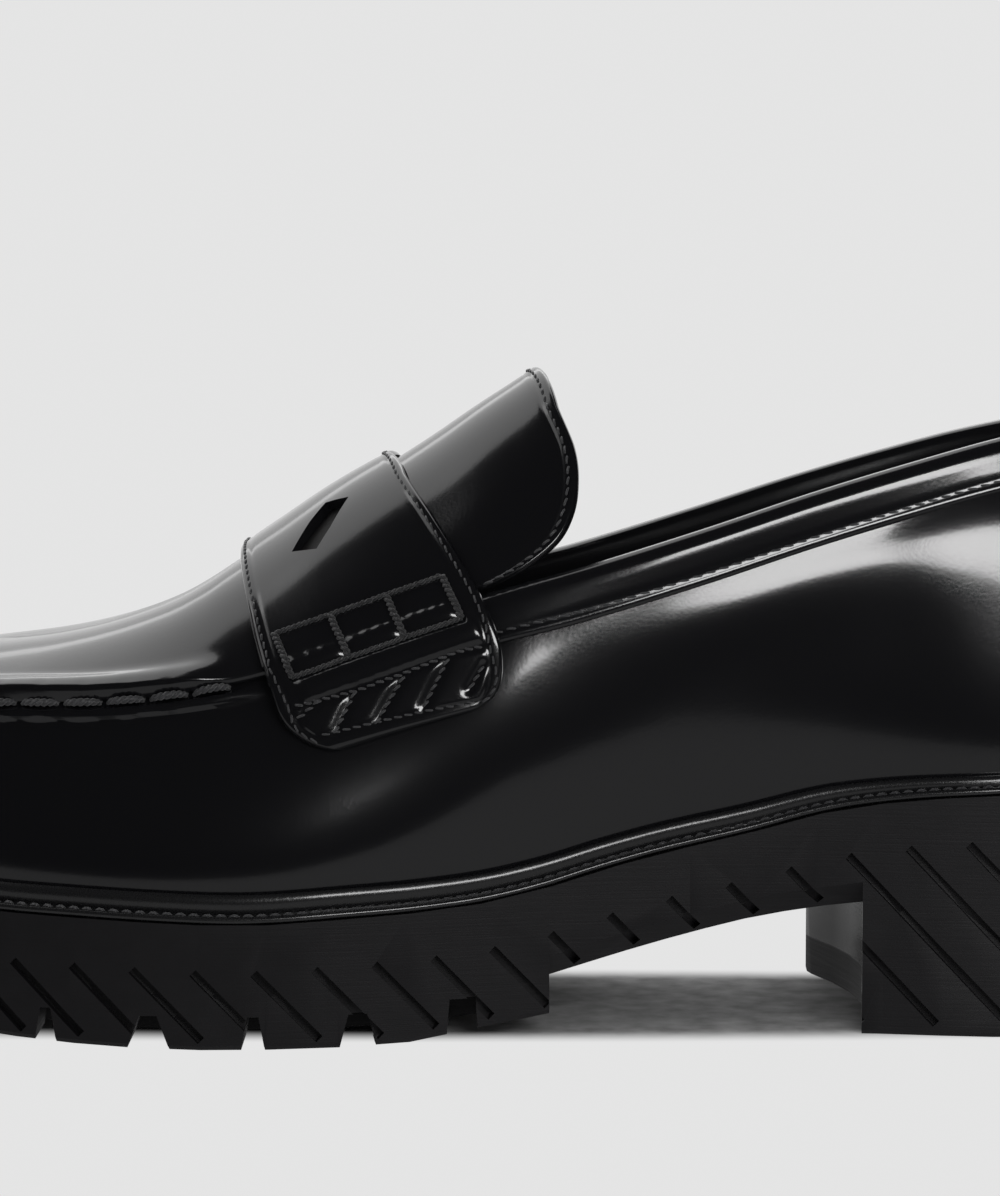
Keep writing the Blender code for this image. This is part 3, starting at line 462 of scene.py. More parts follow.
def turned_mesh(name, points, faces):
    """A closed mesh from points in shoe millimetres, with its faces turned outward."""
    mesh = bpy.data.meshes.new(name)
    mesh.from_pydata(world(points).tolist(), [], faces)
    bm = bmesh.new()
    bm.from_mesh(mesh)
    bmesh.ops.recalc_face_normals(bm, faces=bm.faces)
    bm.to_mesh(mesh)
    bm.free()
    return mesh


def linked(name, data):
    item = bpy.data.objects.new(name, data)
    bpy.context.scene.collection.objects.link(item)
    return item


def add_piece(name, points, faces, material, slot, nodes=(), sharp=42):
    """A piece from points in shoe millimetres, which rides with the shoe."""
    mesh = turned_mesh(name, points, faces)
    mesh.shade_smooth()
    mesh.set_sharp_from_angle(angle=math.radians(sharp))
    mesh.materials.append(material)
    item = linked(name, mesh)
    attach(item, "root")
    for node in nodes:
        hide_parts(node)
    return item


def grid_faces(rows, columns, wrap=False):
    index = np.arange(rows * columns).reshape(rows, columns)
    if wrap:
        index = np.concatenate([index, index[:, :1]], axis=1)
    return np.stack([index[:-1, :-1], index[:-1, 1:], index[1:, 1:], index[1:, :-1]], -1).reshape(-1, 4)


def solid_between(outer, inner, quads):
    """Points and faces of the closed solid between two skins with the same faces."""
    outer = outer.reshape(-1, 3)
    inner = inner.reshape(-1, 3)
    _, first, same = np.unique(np.round(outer, 4), axis=0, return_index=True, return_inverse=True)
    quads = first[same.reshape(-1)][quads]
    faces = []
    edges = {}
    for quad in quads.tolist():
        corners = list(dict.fromkeys(quad))
        if len(corners) < 3:
            continue
        faces.append(corners)
        for a, b in zip(corners, corners[1:] + corners[:1]):
            edges[(a, b)] = True
    count = len(outer)
    below = [[corner + count for corner in reversed(face)] for face in faces]
    rim = [[b, a, a + count, b + count] for a, b in edges if (b, a) not in edges]
    faces = faces + below + rim
    used = sorted({corner for face in faces for corner in face})
    number = {old: new for new, old in enumerate(used)}
    points = np.concatenate([outer, inner])[used]
    return points, [[number[corner] for corner in face] for face in faces]


def normals_of(grid):
    """Directions across a grid of points, all turned away from the shoe's inside."""
    normal = unit(np.cross(np.gradient(grid, axis=0), np.gradient(grid, axis=1)))
    away = grid - (np.clip(grid[..., :1], 60, 235) * (1, 0, 0) + (0, -4, 50))
    return normal * np.where((normal * away).sum(-1) < 0, -1, 1)[..., None]


def lengths(line):
    """Distance along a line of points at each point."""
    return np.append(0, np.cumsum(np.linalg.norm(np.diff(line, axis=0), axis=1)))


def spread_along(arc, values, places):
    """Rows of values, known at distances along a line, at other places of it."""
    return np.stack([np.interp(places, arc, values[:, i]) for i in range(values.shape[1])], -1)


def along_line(line, places):
    return spread_along(lengths(line), line, places)


def tube(path, normals, radii, sides=6):
    """Points and faces of a closed tube along a path, turned by the normals."""
    ahead = unit(np.gradient(path, axis=0))
    across = unit(np.cross(ahead, normals))
    over = np.cross(across, ahead)
    turn = np.linspace(0, 2 * math.pi, sides, endpoint=False)[:, None]
    spokes = across[:, None] * np.cos(turn) + over[:, None] * np.sin(turn)
    ring = path[:, None] + spokes * np.reshape(radii, (-1, 1, 1))
    return ring.reshape(-1, 3), capped_faces(len(path), sides)


def capped_faces(rows, columns):
    """Faces of a closed tube of rows of points, with both ends closed."""
    faces = grid_faces(rows, columns, wrap=True).tolist()
    last = (rows - 1) * columns
    faces.append(list(range(columns)))
    faces.append([last + i for i in reversed(range(columns))])
    return faces


class Thread:
    """Stitches and cords gathered into one piece."""

    def __init__(self):
        self.points = []
        self.faces = []
        self.count = 0

    def add(self, points, faces):
        self.points.append(points)
        self.faces += [[corner + self.count for corner in face] for face in faces]
        self.count += len(points)

    def stitch(self, start, end, normal, radius, rise=0.45, sink=0.5):
        """One stitch that comes out of the leather, lies on it and goes in again."""
        share = np.array([0, 0.1, 0.3, 0.7, 0.9, 1.0])
        height = np.array([-sink, 0.1, rise, rise, 0.1, -sink]) * radius * 2
        path = start + (end - start) * share[:, None] + normal * height[:, None]
        girth = radius * np.array([0.7, 0.95, 1.05, 1.05, 0.95, 0.7])
        self.add(*tube(path, np.tile(normal, (6, 1)), girth))

    def row(self, line, normals, pitch, cover, radius, slant=0.0):
        """Stitches in a row along a line, each turned a little by the slant."""
        total = lengths(line)[-1]
        count = max(1, int(round(total / pitch)))
        step = total / count
        centres = (np.arange(count) + 0.5) * step
        starts = along_line(line, centres - cover * step / 2)
        ends = along_line(line, centres + cover * step / 2)
        facing = spread_along(lengths(line), normals, centres)
        for start, end, normal in zip(starts, ends, facing):
            side = np.cross(end - start, normal) * slant
            self.stitch(start - side, end + side, normal / np.linalg.norm(normal), radius)

    def cord(self, line, normals, radius, twist):
        """Two strands laid round each other."""
        total = lengths(line)[-1]
        places = np.linspace(0, total, max(6, int(total / 0.35)))
        path = along_line(line, places)
        facing = spread_along(lengths(line), normals, places)
        across = np.cross(unit(np.gradient(path, axis=0)), facing)
        for phase in (0.0, math.pi):
            turn = (places / twist * 2 * math.pi + phase)[:, None]
            strand = path + (across * np.cos(turn) + facing * np.sin(turn)) * radius * 0.5
            self.add(*tube(strand, facing, np.full(len(path), radius * 0.55)))

    def finish(self, name, material, slot):
        add_piece(name, np.concatenate(self.points), self.faces, material, slot, sharp=60)


# The leather's inner face, and how deep the lining under it starts.
INNER_FACE = {side: -1.3 for side in SIDES}
LINING_DEPTH = 1.42


def surface_row(stations, girth, lift):
    """Points round the shell at one girth: up the lateral side, back down the medial."""
    lateral = raised(stations, 1.0, girth, lift[1.0])
    medial = raised(stations, -1.0, girth, lift[-1.0])
    return np.concatenate([lateral, medial[-2:0:-1]])


def seam_line(side):
    """The moccasin seam from the toe's tip backward, with the distance from the tip."""
    stations = np.linspace(LENGTH, APRON_BACK, 400)
    return stations, lengths(upper_point(stations, side, 1.0))


SEAM = {side: seam_line(side) for side in SIDES}


def pinch(station, side, width):
    """1 at each hand stitch along the seam and 0 between them."""
    stations, arc = SEAM[side]
    place = np.interp(-np.asarray(station, float), -stations, arc)
    off = (place / HAND_PITCH) % 1.0 - 0.5
    return np.exp(-(off * HAND_PITCH / width) ** 2)


def upper_lift(stations, side, girth):
    """Relief of the leather: the lip under the moccasin seam, the creases and the quarter's swell."""
    wall = np.linalg.norm(upper_point(stations, side, 1.0) - upper_point(stations, side, 0.0), axis=-1)
    drop = (1 - min(girth, 1.0)) * wall
    toe = blend(stations, SEAM_START - 8, SEAM_START + 6)
    wavy = LIP_DROP + 0.3 * pinch(stations, side, 1.9)
    lip = LIP_HEIGHT * (1 - blend(drop - wavy, 0.0, 0.7)) * blend(drop, 0.9, 1.7)
    valley = -0.5 * np.exp(-(drop / 1.1) ** 2)
    below = drop - BINDING_DROP - SWELL_DEPTH
    behind = 1 - blend(stations, *SWELL_BEHIND)
    upward, downward = (SWELL_REACH[i] + SWELL_REACH_BEHIND[i] * behind for i in (0, 1))
    reach = np.where(below < 0, upward, downward)
    swell = (QUARTER_SWELL + behind) * np.exp(-(below / reach) ** 2)
    lift = (lip + valley) * toe + swell * (1 - blend(stations, *SWELL_FRONT))
    for centre, bottom, top, lean, depth, width in CREASES:
        inside = np.exp(-((girth - (bottom + top) / 2) / (top - bottom) * 2.2) ** 2)
        lift = lift - depth * inside * np.exp(-((stations - centre - lean * (girth - bottom)) / width) ** 2)
    return lift


def build_upper():
    stations = stations_through(210, (THROAT, APRON_BACK))
    wall_girths = 1 - (1 - np.linspace(0, 1, 46)) ** 1.5
    roof_girths = 1 + np.linspace(0, 1, 14)[1:]
    outer = []
    inner = []
    for girth in wall_girths:
        lift = {side: upper_lift(stations, side, girth) for side in SIDES}
        outer.append(surface_row(stations, girth, lift))
        inner.append(surface_row(stations, girth, INNER_FACE))
    around = len(outer[0])
    quads = [grid_faces(len(wall_girths), around, wrap=True)]
    outer = list(np.concatenate(outer))
    inner = list(np.concatenate(inner))
    last = len(stations) - 1
    roof = np.flatnonzero(stations >= THROAT)
    for side in SIDES:
        shoulder = roof if side > 0 else np.where(roof == last, last, 2 * last - roof)
        lower = (len(wall_girths) - 1) * around + shoulder
        for girth in roof_girths:
            row = len(outer) + np.arange(len(roof))
            outer += list(raised(stations[roof], side, girth, -0.02))
            inner += list(raised(stations[roof], side, girth, INNER_FACE[side]))
            strip = np.stack([lower[:-1], lower[1:], row[1:], row[:-1]], -1)
            quads.append(strip if side > 0 else strip[:, ::-1])
            lower = row
    solid = solid_between(np.array(outer), np.array(inner), np.concatenate(quads))
    add_piece("upper_leather", *solid, SHINE, "shine_leather", ("upper",))


def build_lining():
    stations = stations_through(110, (THROAT, APRON_BACK))
    girths = np.linspace(0.02, 1, 18)
    skins = [np.array([surface_row(stations, girth, {side: depth for side in SIDES}) for girth in girths])
             for depth in (-LINING_DEPTH, -UPPER_WALL)]
    quads = grid_faces(len(girths), skins[0].shape[1], wrap=True)
    add_piece("quarter_lining", *solid_between(*skins, quads), LINING, "lining")


def build_apron():
    stations = np.concatenate([np.linspace(APRON_BACK, 285, 150)[:-1],
                               285 + 15 * np.sin(np.linspace(0, math.pi / 2, 26))])
    climb = np.concatenate([np.linspace(0, 1, 11)[:-1] * 1.6, 1.6 * 1.16 ** np.arange(24)])
    climb = climb / climb[-1]
    outer = []
    inner = []
    for side in SIDES:
        roof = raised(stations, side, 1.0, 0.0)
        width = np.linalg.norm(upper_point(stations, side, 1.5) - roof, axis=-1) * 2
        near = pinch(stations, side, 1.5) * blend(stations, *APRON_RIM_START)
        top_rows = []
        low_rows = []
        for share in climb:
            girth = 1 + share
            away = share * width
            rim = (APRON_RIM - APRON_TOP) * np.exp(-(away / 5.0) ** 4)
            rim = rim * blend(stations, *APRON_RIM_START)
            edge = (1 - (1 - np.clip(away / 1.2, 0, 1)) ** 2.7) ** (1 / 2.7)
            top = APRON_TOP + rim - 0.1 * near * np.exp(-(away / 3.4) ** 2)
            top = APRON_BASE + 0.1 + (top - APRON_BASE - 0.1) * edge
            top_rows.append(raised(stations, side, girth, top))
            low_rows.append(raised(stations, side, girth, APRON_BASE))
        outer.append(np.array(top_rows).transpose(1, 0, 2))
        inner.append(np.array(low_rows).transpose(1, 0, 2))
    skins = [np.concatenate([pair[0], pair[1][:, -2::-1]], axis=1) for pair in (outer, inner)]
    solid = solid_between(*skins, grid_faces(*skins[0].shape[:2]))
    add_piece("apron_leather", *solid, SHINE, "shine_leather", ("apron",), 65)


def build_hand_stitches():
    """The thick hand stitches that pull the apron and the vamp together."""
    thread = Thread()
    for side in SIDES:
        stations, arc = SEAM[side]
        count = int(np.interp(-HAND_END, -stations, arc) / HAND_PITCH)
        for k in range(count):
            centre = (k + 0.5) * HAND_PITCH
            spots = np.interp(centre + HAND_HALF * np.linspace(-1, 1, 7), arc, stations)
            facing = upper_normal(spots, side, 0.98)
            thread.cord(raised(spots, side, 0.995, HAND_ARCH), facing, 0.8, HAND_TWIST)
    thread.finish("hand_stitches", THREAD, "shine_leather")


def dense_edges(table, steps, lift, crest_edges):
    """Edge curves as dense stations and girths, from the lower end to the crest."""
    edges = []
    for x_name, z_name, crest in crest_edges:
        x = ease(steps, table["step"], table[x_name])
        z = ease(steps, table["step"], table[z_name])
        station, girth = find_on_side(x, z, 1.0, lift)
        edge = list(zip(station, girth))
        start = np.array(edge[-1])
        end = np.array([float(station_of_crest(crest)), 2.0])
        edge += [tuple(start + share * (end - start)) for share in np.linspace(0, 1, 9)[1:]]
        edges.append(np.array(edge))
    return edges


def strap_relief(x, z):
    """Height over the strap's own face: the ladder of puffed panels, the roll and the quilting."""
    matrix = np.linalg.inv(np.array([LADDER_ALONG, LADDER_DOWN]).T)
    offset = np.stack([x - LADDER_CORNER[0], z - LADDER_CORNER[1]], -1)
    s = offset @ matrix[0]
    t = offset @ matrix[1]
    panel = s * 3
    a = np.clip(panel - np.floor(panel), 0, 1)
    b = np.clip(t, 0, 1)
    inside = (s > 0) & (s < 1) & (t > 0) & (t < 1)
    puff = np.where(inside, (16 * a * (1 - a) * b * (1 - b)) ** 0.3, 0) * PUFF
    depth, width = CORD_BED
    for line in (0.0, 1.0):
        bed = depth * np.exp(-((t - line) * LADDER_HEIGHT / width) ** 2)
        puff = puff - bed * ((s > -0.02) & (s < 1.02))
    for line in (0.0, 1 / 3, 2 / 3, 1.0):
        bed = depth * np.exp(-((s - line) * LADDER_LENGTH / width) ** 2)
        puff = puff - bed * ((t > -0.05) & (t < 1.05))
    roll_place = np.clip(abs(t - ROLL[0]) / ROLL[1], 0, 1)
    roll = PUFF * np.sqrt(1 - roll_place ** 2) * blend(s, -0.02, 0.03) * (1 - blend(s, 1.03, 1.12))
    quilt = np.zeros_like(x)
    for line in [np.array(row) for row in [QUILT_TOP] + QUILT_ROWS]:
        for start, end in zip(line[:-1], line[1:]):
            quilt = np.maximum(quilt, np.exp(-(distance_to(x, z, start, end) / QUILT_WIDTH) ** 2))
    low = blend(t, ROLL[0] + ROLL[1] - 0.04, ROLL[0] + ROLL[1] + 0.06)
    return puff + roll - QUILT_DEPTH * quilt * low + 0.35 * low


def distance_to(x, z, start, end):
    dx, dz = end[0] - start[0], end[1] - start[1]
    share = np.clip(((x - start[0]) * dx + (z - start[1]) * dz) / (dx * dx + dz * dz), 0, 1)
    return np.hypot(x - start[0] - share * dx, z - start[1] - share * dz)


def patch_between(front, back, rows, spans, corner_front=0.0, corner_back=0.0):
    """Stations and girths of a patch from one edge to the other, with its lower corners rounded."""
    middle = (front + back) / 2
    line = upper_point(middle[:, 0], 1.0, middle[:, 1])
    arc = lengths(line)
    rows = rows * arc[-1] if rows[-1] <= 1 else rows
    places = np.clip(rows, 0, arc[-1])
    edges = [spread_along(arc, edge, places) for edge in (front, back)]
    width = np.linalg.norm(upper_point(edges[0][:, 0], 1.0, edges[0][:, 1])
                           - upper_point(edges[1][:, 0], 1.0, edges[1][:, 1]), axis=-1)

    def trim(radius):
        if not radius:
            return np.zeros(len(places))
        left = np.clip(radius - places, 0, radius)
        return (radius - np.sqrt(radius ** 2 - left ** 2)) / width

    low = trim(corner_front)
    high = 1 - trim(corner_back)
    share = low[:, None] + (high - low)[:, None] * spans[None, :]
    station = edges[0][:, None, 0] * (1 - share) + edges[1][:, None, 0] * share
    girth = edges[0][:, None, 1] * (1 - share) + edges[1][:, None, 1] * share
    return station, girth, places


def edge_fall(distance, radius):
    """0 at a rounded edge, rising to 1 at the radius."""
    return np.sqrt(1 - (1 - np.clip(distance / radius, 0, 1)) ** 2)


def both_sides(station, girth, lift_low, lift_high):
    """Outer and inner skins from the lateral end over the crest to the medial end."""
    skins = []
    for lift in (lift_high, lift_low):
        halves = [raised(station, side, girth, lift(side) if callable(lift) else lift) for side in SIDES]
        skins.append(np.concatenate([halves[0], halves[1][-2::-1]]))
    return skins


def nearest(grid, normals, x, z, rows):
    """The grid's point and normal that show at x and z from the side."""
    part = grid[rows].reshape(-1, 3)
    off = (part[:, 0] - x) ** 2 + (part[:, 2] - z) ** 2
    best = np.argsort(off)[:4]
    weight = 1 / (off[best] + 0.01)
    weight /= weight.sum()
    normal = (normals[rows].reshape(-1, 3)[best] * weight[:, None]).sum(0)
    return (part[best] * weight[:, None]).sum(0), normal / np.linalg.norm(normal)


def inside_line(grid, distance, from_front):
    """The line a given distance inside one edge of a grid of points."""
    rows = grid if from_front else grid[:, ::-1]
    return np.array([along_line(row, [distance])[0] for row in rows])


def apply_cut(item, cutter):
    """Cut a piece by a block and keep the result as its own mesh."""
    modifier = item.modifiers.new("cut", "BOOLEAN")
    modifier.operation = "DIFFERENCE"
    modifier.solver = "EXACT"
    modifier.object = cutter
    depsgraph = bpy.context.evaluated_depsgraph_get()
    mesh = bpy.data.meshes.new_from_object(item.evaluated_get(depsgraph))
    item.modifiers.clear()
    old = item.data
    item.data = mesh
    bpy.data.meshes.remove(old)
    mesh.name = item.name
    bpy.data.objects.remove(cutter)


def slot_block():
    """Blocks that cut the strap's two slanted slots."""
    points = []
    faces = []
    for side in SIDES:
        ends = []
        for x, z in (SLOT_TOP, SLOT_FOOT):
            station, girth = find_on_side(np.array(x), np.array(z), side, strap_top)
            ends.append((upper_point(station, side, girth), upper_normal(station, side, girth)))
        along = unit(ends[1][0] - ends[0][0])
        facing = ends[0][1] + ends[1][1]
        across = np.cross(along, facing)
        across *= math.copysign(SLOT_WIDTH / 2, across[2]) / np.linalg.norm(across)
        start = len(points)
        for point, normal in ends:
            for height, sign in ((1.0, -1), (1.0, 1), (8.0, 1), (8.0, -1)):
                points.append(point + normal * height + across * sign * (1 + 0.04 * height)
                              - along * SLOT_SLANT * sign)
        for a, b in ((0, 1), (1, 2), (2, 3), (3, 0)):
            faces.append([start + a, start + b, start + b + 4, start + a + 4])
        faces.append([start + i for i in (3, 2, 1, 0)])
        faces.append([start + i for i in (4, 5, 6, 7)])
    return linked("slot_block", turned_mesh("slot_block", points, faces))


def build_strap():
    """The saddle strap with its slots, ladder, roll and quilting, its stitches, and its lining: a matt dark
    sheet under the bridge that is also painted shade seen through the slots.
    """
    steps = np.linspace(0, 0.94, 48)
    names = (("front_x", "front_z", STRAP_CREST[0]), ("back_x", "back_z", STRAP_CREST[1]))
    front, back = dense_edges(STRAP, steps, strap_top, names)
    rows = np.concatenate([[0, 0.12, 0.3, 0.55, 0.85, 1.2, 1.6], np.arange(2.1, 40, 0.5),
                           np.arange(40, 66, 0.9), np.linspace(66, 90, 24)])
    line = (front + back) / 2
    total = lengths(upper_point(line[:, 0], 1.0, line[:, 1]))[-1]
    rows = np.append(rows[rows < total - 0.5], total)
    spans = 0.5 - 0.5 * np.cos(np.linspace(0, math.pi, 89))
    spans = 0.5 * spans + 0.5 * np.linspace(0, 1, 89)
    station, girth, places = patch_between(front, back, rows, spans, 6.0, 3.5)
    base = strap_base(girth)
    step = np.linalg.norm(np.diff(upper_point(station, 1.0, girth), axis=1), axis=-1)
    from_front = np.concatenate([np.zeros((len(rows), 1)), np.cumsum(step, axis=1)], axis=1)
    from_back = from_front[:, -1:] - from_front
    near = np.minimum(np.minimum(from_front, from_back), places[:, None])
    band = 0.1 * (1 - blend(near, 2.2, 3.0)) - 0.14 * np.exp(-((near - STRAP_STITCH) / 0.45) ** 2)

    def top(side):
        plain = raised(station, side, girth, strap_top(girth))
        detail = strap_relief(plain[..., 0], plain[..., 2]) * blend(near, 2.2, 3.4) * (girth < 1.0)
        crown = 4 * STRAP_CROWN * from_front * from_back / (from_front + from_back) ** 2
        height = strap_top(girth) - 0.35 + band + detail + crown
        return base + 0.1 + (height - base - 0.1) * edge_fall(near, 0.9)

    outer, inner = both_sides(station, girth, base, top)
    solid = solid_between(outer, inner, grid_faces(*outer.shape[:2]))
    item = add_piece("saddle_strap_leather", *solid, SHINE, "shine_leather", ("saddle_strap",), 55)
    # A lining under the strap's bridge that is also painted shade: its matt dark face stands in for the
    # shadow seen through the slots.
    lifted = np.flatnonzero(girth.min(axis=1) > 0.87)
    under = (station[lifted][:, 6:-6], girth[lifted][:, 6:-6])
    skins = both_sides(*under, 2.25, 2.6)
    add_piece("strap_lining_slot_shade", *solid_between(*skins, grid_faces(*skins[0].shape[:2])), LINING, "lining")
    apply_cut(item, slot_block())
    normals = normals_of(outer)
    thread = Thread()
    skip = 6
    for from_front_edge in (True, False):
        line = inside_line(outer[skip:-skip], STRAP_STITCH, from_front_edge)
        facing = normals[skip:-skip, 8 if from_front_edge else -9]
        thread.row(line, facing, *STRAP_ROW)
    count = len(rows)
    ends = {1.0: slice(0, count), -1.0: slice(len(outer) - count, len(outer))}
    cords = Thread()
    corner, along, down = (np.array(value) for value in (LADDER_CORNER, LADDER_ALONG, LADDER_DOWN))
    for side, row_slice in ends.items():
        def on_strap(start, finish):
            shares = np.linspace(0, 1, max(3, int(np.linalg.norm(finish - start) / 0.8)))
            spots = [nearest(outer, normals, *(start + (finish - start) * share), row_slice)
                     for share in shares]
            return np.array(spots).transpose(1, 0, 2)

        runs = [(corner + down * t, corner + along + down * t) for t in (0, 1)]
        runs += [(corner + along * s, corner + along * s + down) for s in (0, 1 / 3, 2 / 3, 1)]
        for start, finish in runs:
            line, facing = on_strap(start, finish)
            radius = 0.55 if len(line) > 20 else 0.75
            cords.cord(line + facing * 0.3, facing, radius, CORD_TWIST)
        for line in [QUILT_TOP] + QUILT_ROWS:
            for start, finish in zip(line[:-1], line[1:]):
                thread.row(*on_strap(np.array(start), np.array(finish)), *QUILT_ROW)
        end_row = 8 if side > 0 else -9
        line, facing = (grid[row_slice][end_row][12:-12] for grid in (outer, normals))
        thread.row(line, facing, *STRAP_ROW)
    thread.finish("strap_stitches", THREAD, "shine_leather")
    cords.finish("strap_ladder_cords", CORD, "shine_leather")


def build_sole():
    """The rubber sole, with the solid's own shape and softened edges."""
    mesh = frame["nodes"]["lug_sole"].data.copy()
    mesh.name = "rubber_sole"
    bm = bmesh.new()
    bm.from_mesh(mesh)
    bmesh.ops.remove_doubles(bm, verts=bm.verts, dist=0.002 * MM)
    bmesh.ops.dissolve_limit(bm, angle_limit=math.radians(0.6), verts=bm.verts, edges=bm.edges)
    bmesh.ops.recalc_face_normals(bm, faces=bm.faces)
    bm.to_mesh(mesh)
    bm.free()
    mesh.shade_smooth()
    mesh.set_sharp_from_angle(angle=math.radians(30))
    mesh.materials.clear()
    mesh.materials.append(RUBBER)
    item = linked("rubber_sole", mesh)
    bevel = item.modifiers.new("soft_edges", "BEVEL")
    bevel.width = 0.3 * MM
    bevel.segments = 2
    bevel.limit_method = "ANGLE"
    bevel.angle_limit = math.radians(38)
    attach(item, "root")
    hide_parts("lug_sole")


def build_tongue():
    """The wide tongue behind the strap, with its stitch row."""
    steps = np.linspace(0, 0.9, 40)
    back = dense_edges(TONGUE, steps, tongue_top, (("x", "z", TONGUE_CREST),))[0]
    lowest = 1.04
    share = np.linspace(0, 1, len(back))
    front = np.stack([np.full(len(back), TONGUE_FRONT), lowest + (2 - lowest) * share], -1)
    spans = 1 - (1 - np.linspace(0, 1, 72)) ** 1.6
    rows = np.linspace(0, 1, 80)
    station, girth, places = patch_between(front, back, rows, spans)
    step = np.linalg.norm(np.diff(upper_point(station, 1.0, girth), axis=1), axis=-1)
    from_back = np.cumsum(step[:, ::-1], axis=1)[:, ::-1]
    from_back = np.concatenate([from_back, np.zeros((len(rows), 1))], axis=1)
    near = np.minimum(from_back, places[:, None] + 0.3)
    band = 0.08 * (1 - blend(near, 2.6, 3.4)) - 0.14 * np.exp(-((near - TONGUE_STITCH) / 0.45) ** 2)
    height = TONGUE_BASE + 0.1 + (TONGUE_TOP - TONGUE_BASE - 0.2 + band) * edge_fall(near, 0.9)
    outer, inner = both_sides(station, girth, TONGUE_BASE, height)
    solid = solid_between(outer, inner, grid_faces(*outer.shape[:2]))
    add_piece("tongue_leather", *solid, SHINE, "shine_leather", ("tongue",), 55)
    thread = Thread()
    normals = normals_of(outer)
    line = inside_line(outer[2:-2], TONGUE_STITCH, False)
    thread.row(line, normals[2:-2, -8], *TONGUE_ROW)
    thread.finish("tongue_stitches", THREAD, "shine_leather")


def build_binding():
    """The band folded over the topline, with its stitch row."""
    lateral = np.linspace(BAND_START, 0, 190)
    stations = np.concatenate([lateral, lateral[-2::-1]])
    sides = np.concatenate([np.ones(len(lateral)), -np.ones(len(lateral) - 1)])
    inside = -UPPER_WALL - GAP
    inner_face = inside - BINDING_THICK
    top_lift = GAP + BINDING_THICK

    def by_side(rule):
        rows = np.zeros((len(stations), 3))
        for side in SIDES:
            rows[sides == side] = rule(stations[sides == side], side)
        return rows

    def on_wall(lift, drop):
        def rule(picked, side):
            foot = upper_point(picked, side, 0.0)
            length = np.linalg.norm(upper_point(picked, side, 1.0) - foot, axis=-1)
            return raised(picked, side, 1 - drop / length / 1.03, lift)
        return by_side(rule)

    def over_top(lift, height):
        def rule(picked, side):
            top = upper_point(picked, side, 1.0)
            down = unit(upper_point(picked, side, 0.9) - top)
            return top + upper_normal(picked, side, 1.0) * lift - down * height
        return by_side(rule)

    outer_rows = ((GAP, BINDING_DROP), (top_lift - 0.55, BINDING_DROP + 0.05),
                  (top_lift - 0.15, BINDING_DROP - 0.25), (top_lift, BINDING_DROP - 0.7),
                  (top_lift, BINDING_DROP - 1.4), (top_lift - 0.28, BINDING_DROP - BAND_STITCH),
                  (top_lift, BINDING_DROP - 2.9), (top_lift + 0.15, 5.0), (top_lift + 0.3, 3.2),
                  (top_lift + 0.42, 1.6), (top_lift + 0.25, 0.6))
    fold_rows = ((top_lift - 0.5, 0.6), (top_lift - 1.2, 1.3), (GAP - 0.6, 1.6),
                 ((GAP + inside) / 2, 1.7), (inside + 0.4, 1.6), (inside - 0.5, 1.2))
    inner_rows = ((inner_face + 0.1, 0.4), (inner_face, 3.0), (inner_face, BINDING_INNER_DROP),
                  (inside, BINDING_INNER_DROP))
    profile = [on_wall(*row) for row in outer_rows]
    profile += [over_top(*row) for row in fold_rows]
    profile += [on_wall(*row) for row in inner_rows]
    profile += [over_top(inside, GAP), over_top(GAP, GAP), on_wall(GAP, BINDING_DROP / 2)]
    rings = np.array(profile).transpose(1, 0, 2)
    add_piece("collar_band", rings.reshape(-1, 3), capped_faces(*rings.shape[:2]), SHINE,
              "shine_leather", ("collar_binding",), 60)
    thread = Thread()
    facing = by_side(lambda picked, side: upper_normal(picked, side, 0.9))
    thread.row(on_wall(top_lift - 0.2, BINDING_DROP - BAND_STITCH), facing, *COLLAR_ROW)
    thread.finish("collar_stitches", THREAD, "shine_leather")


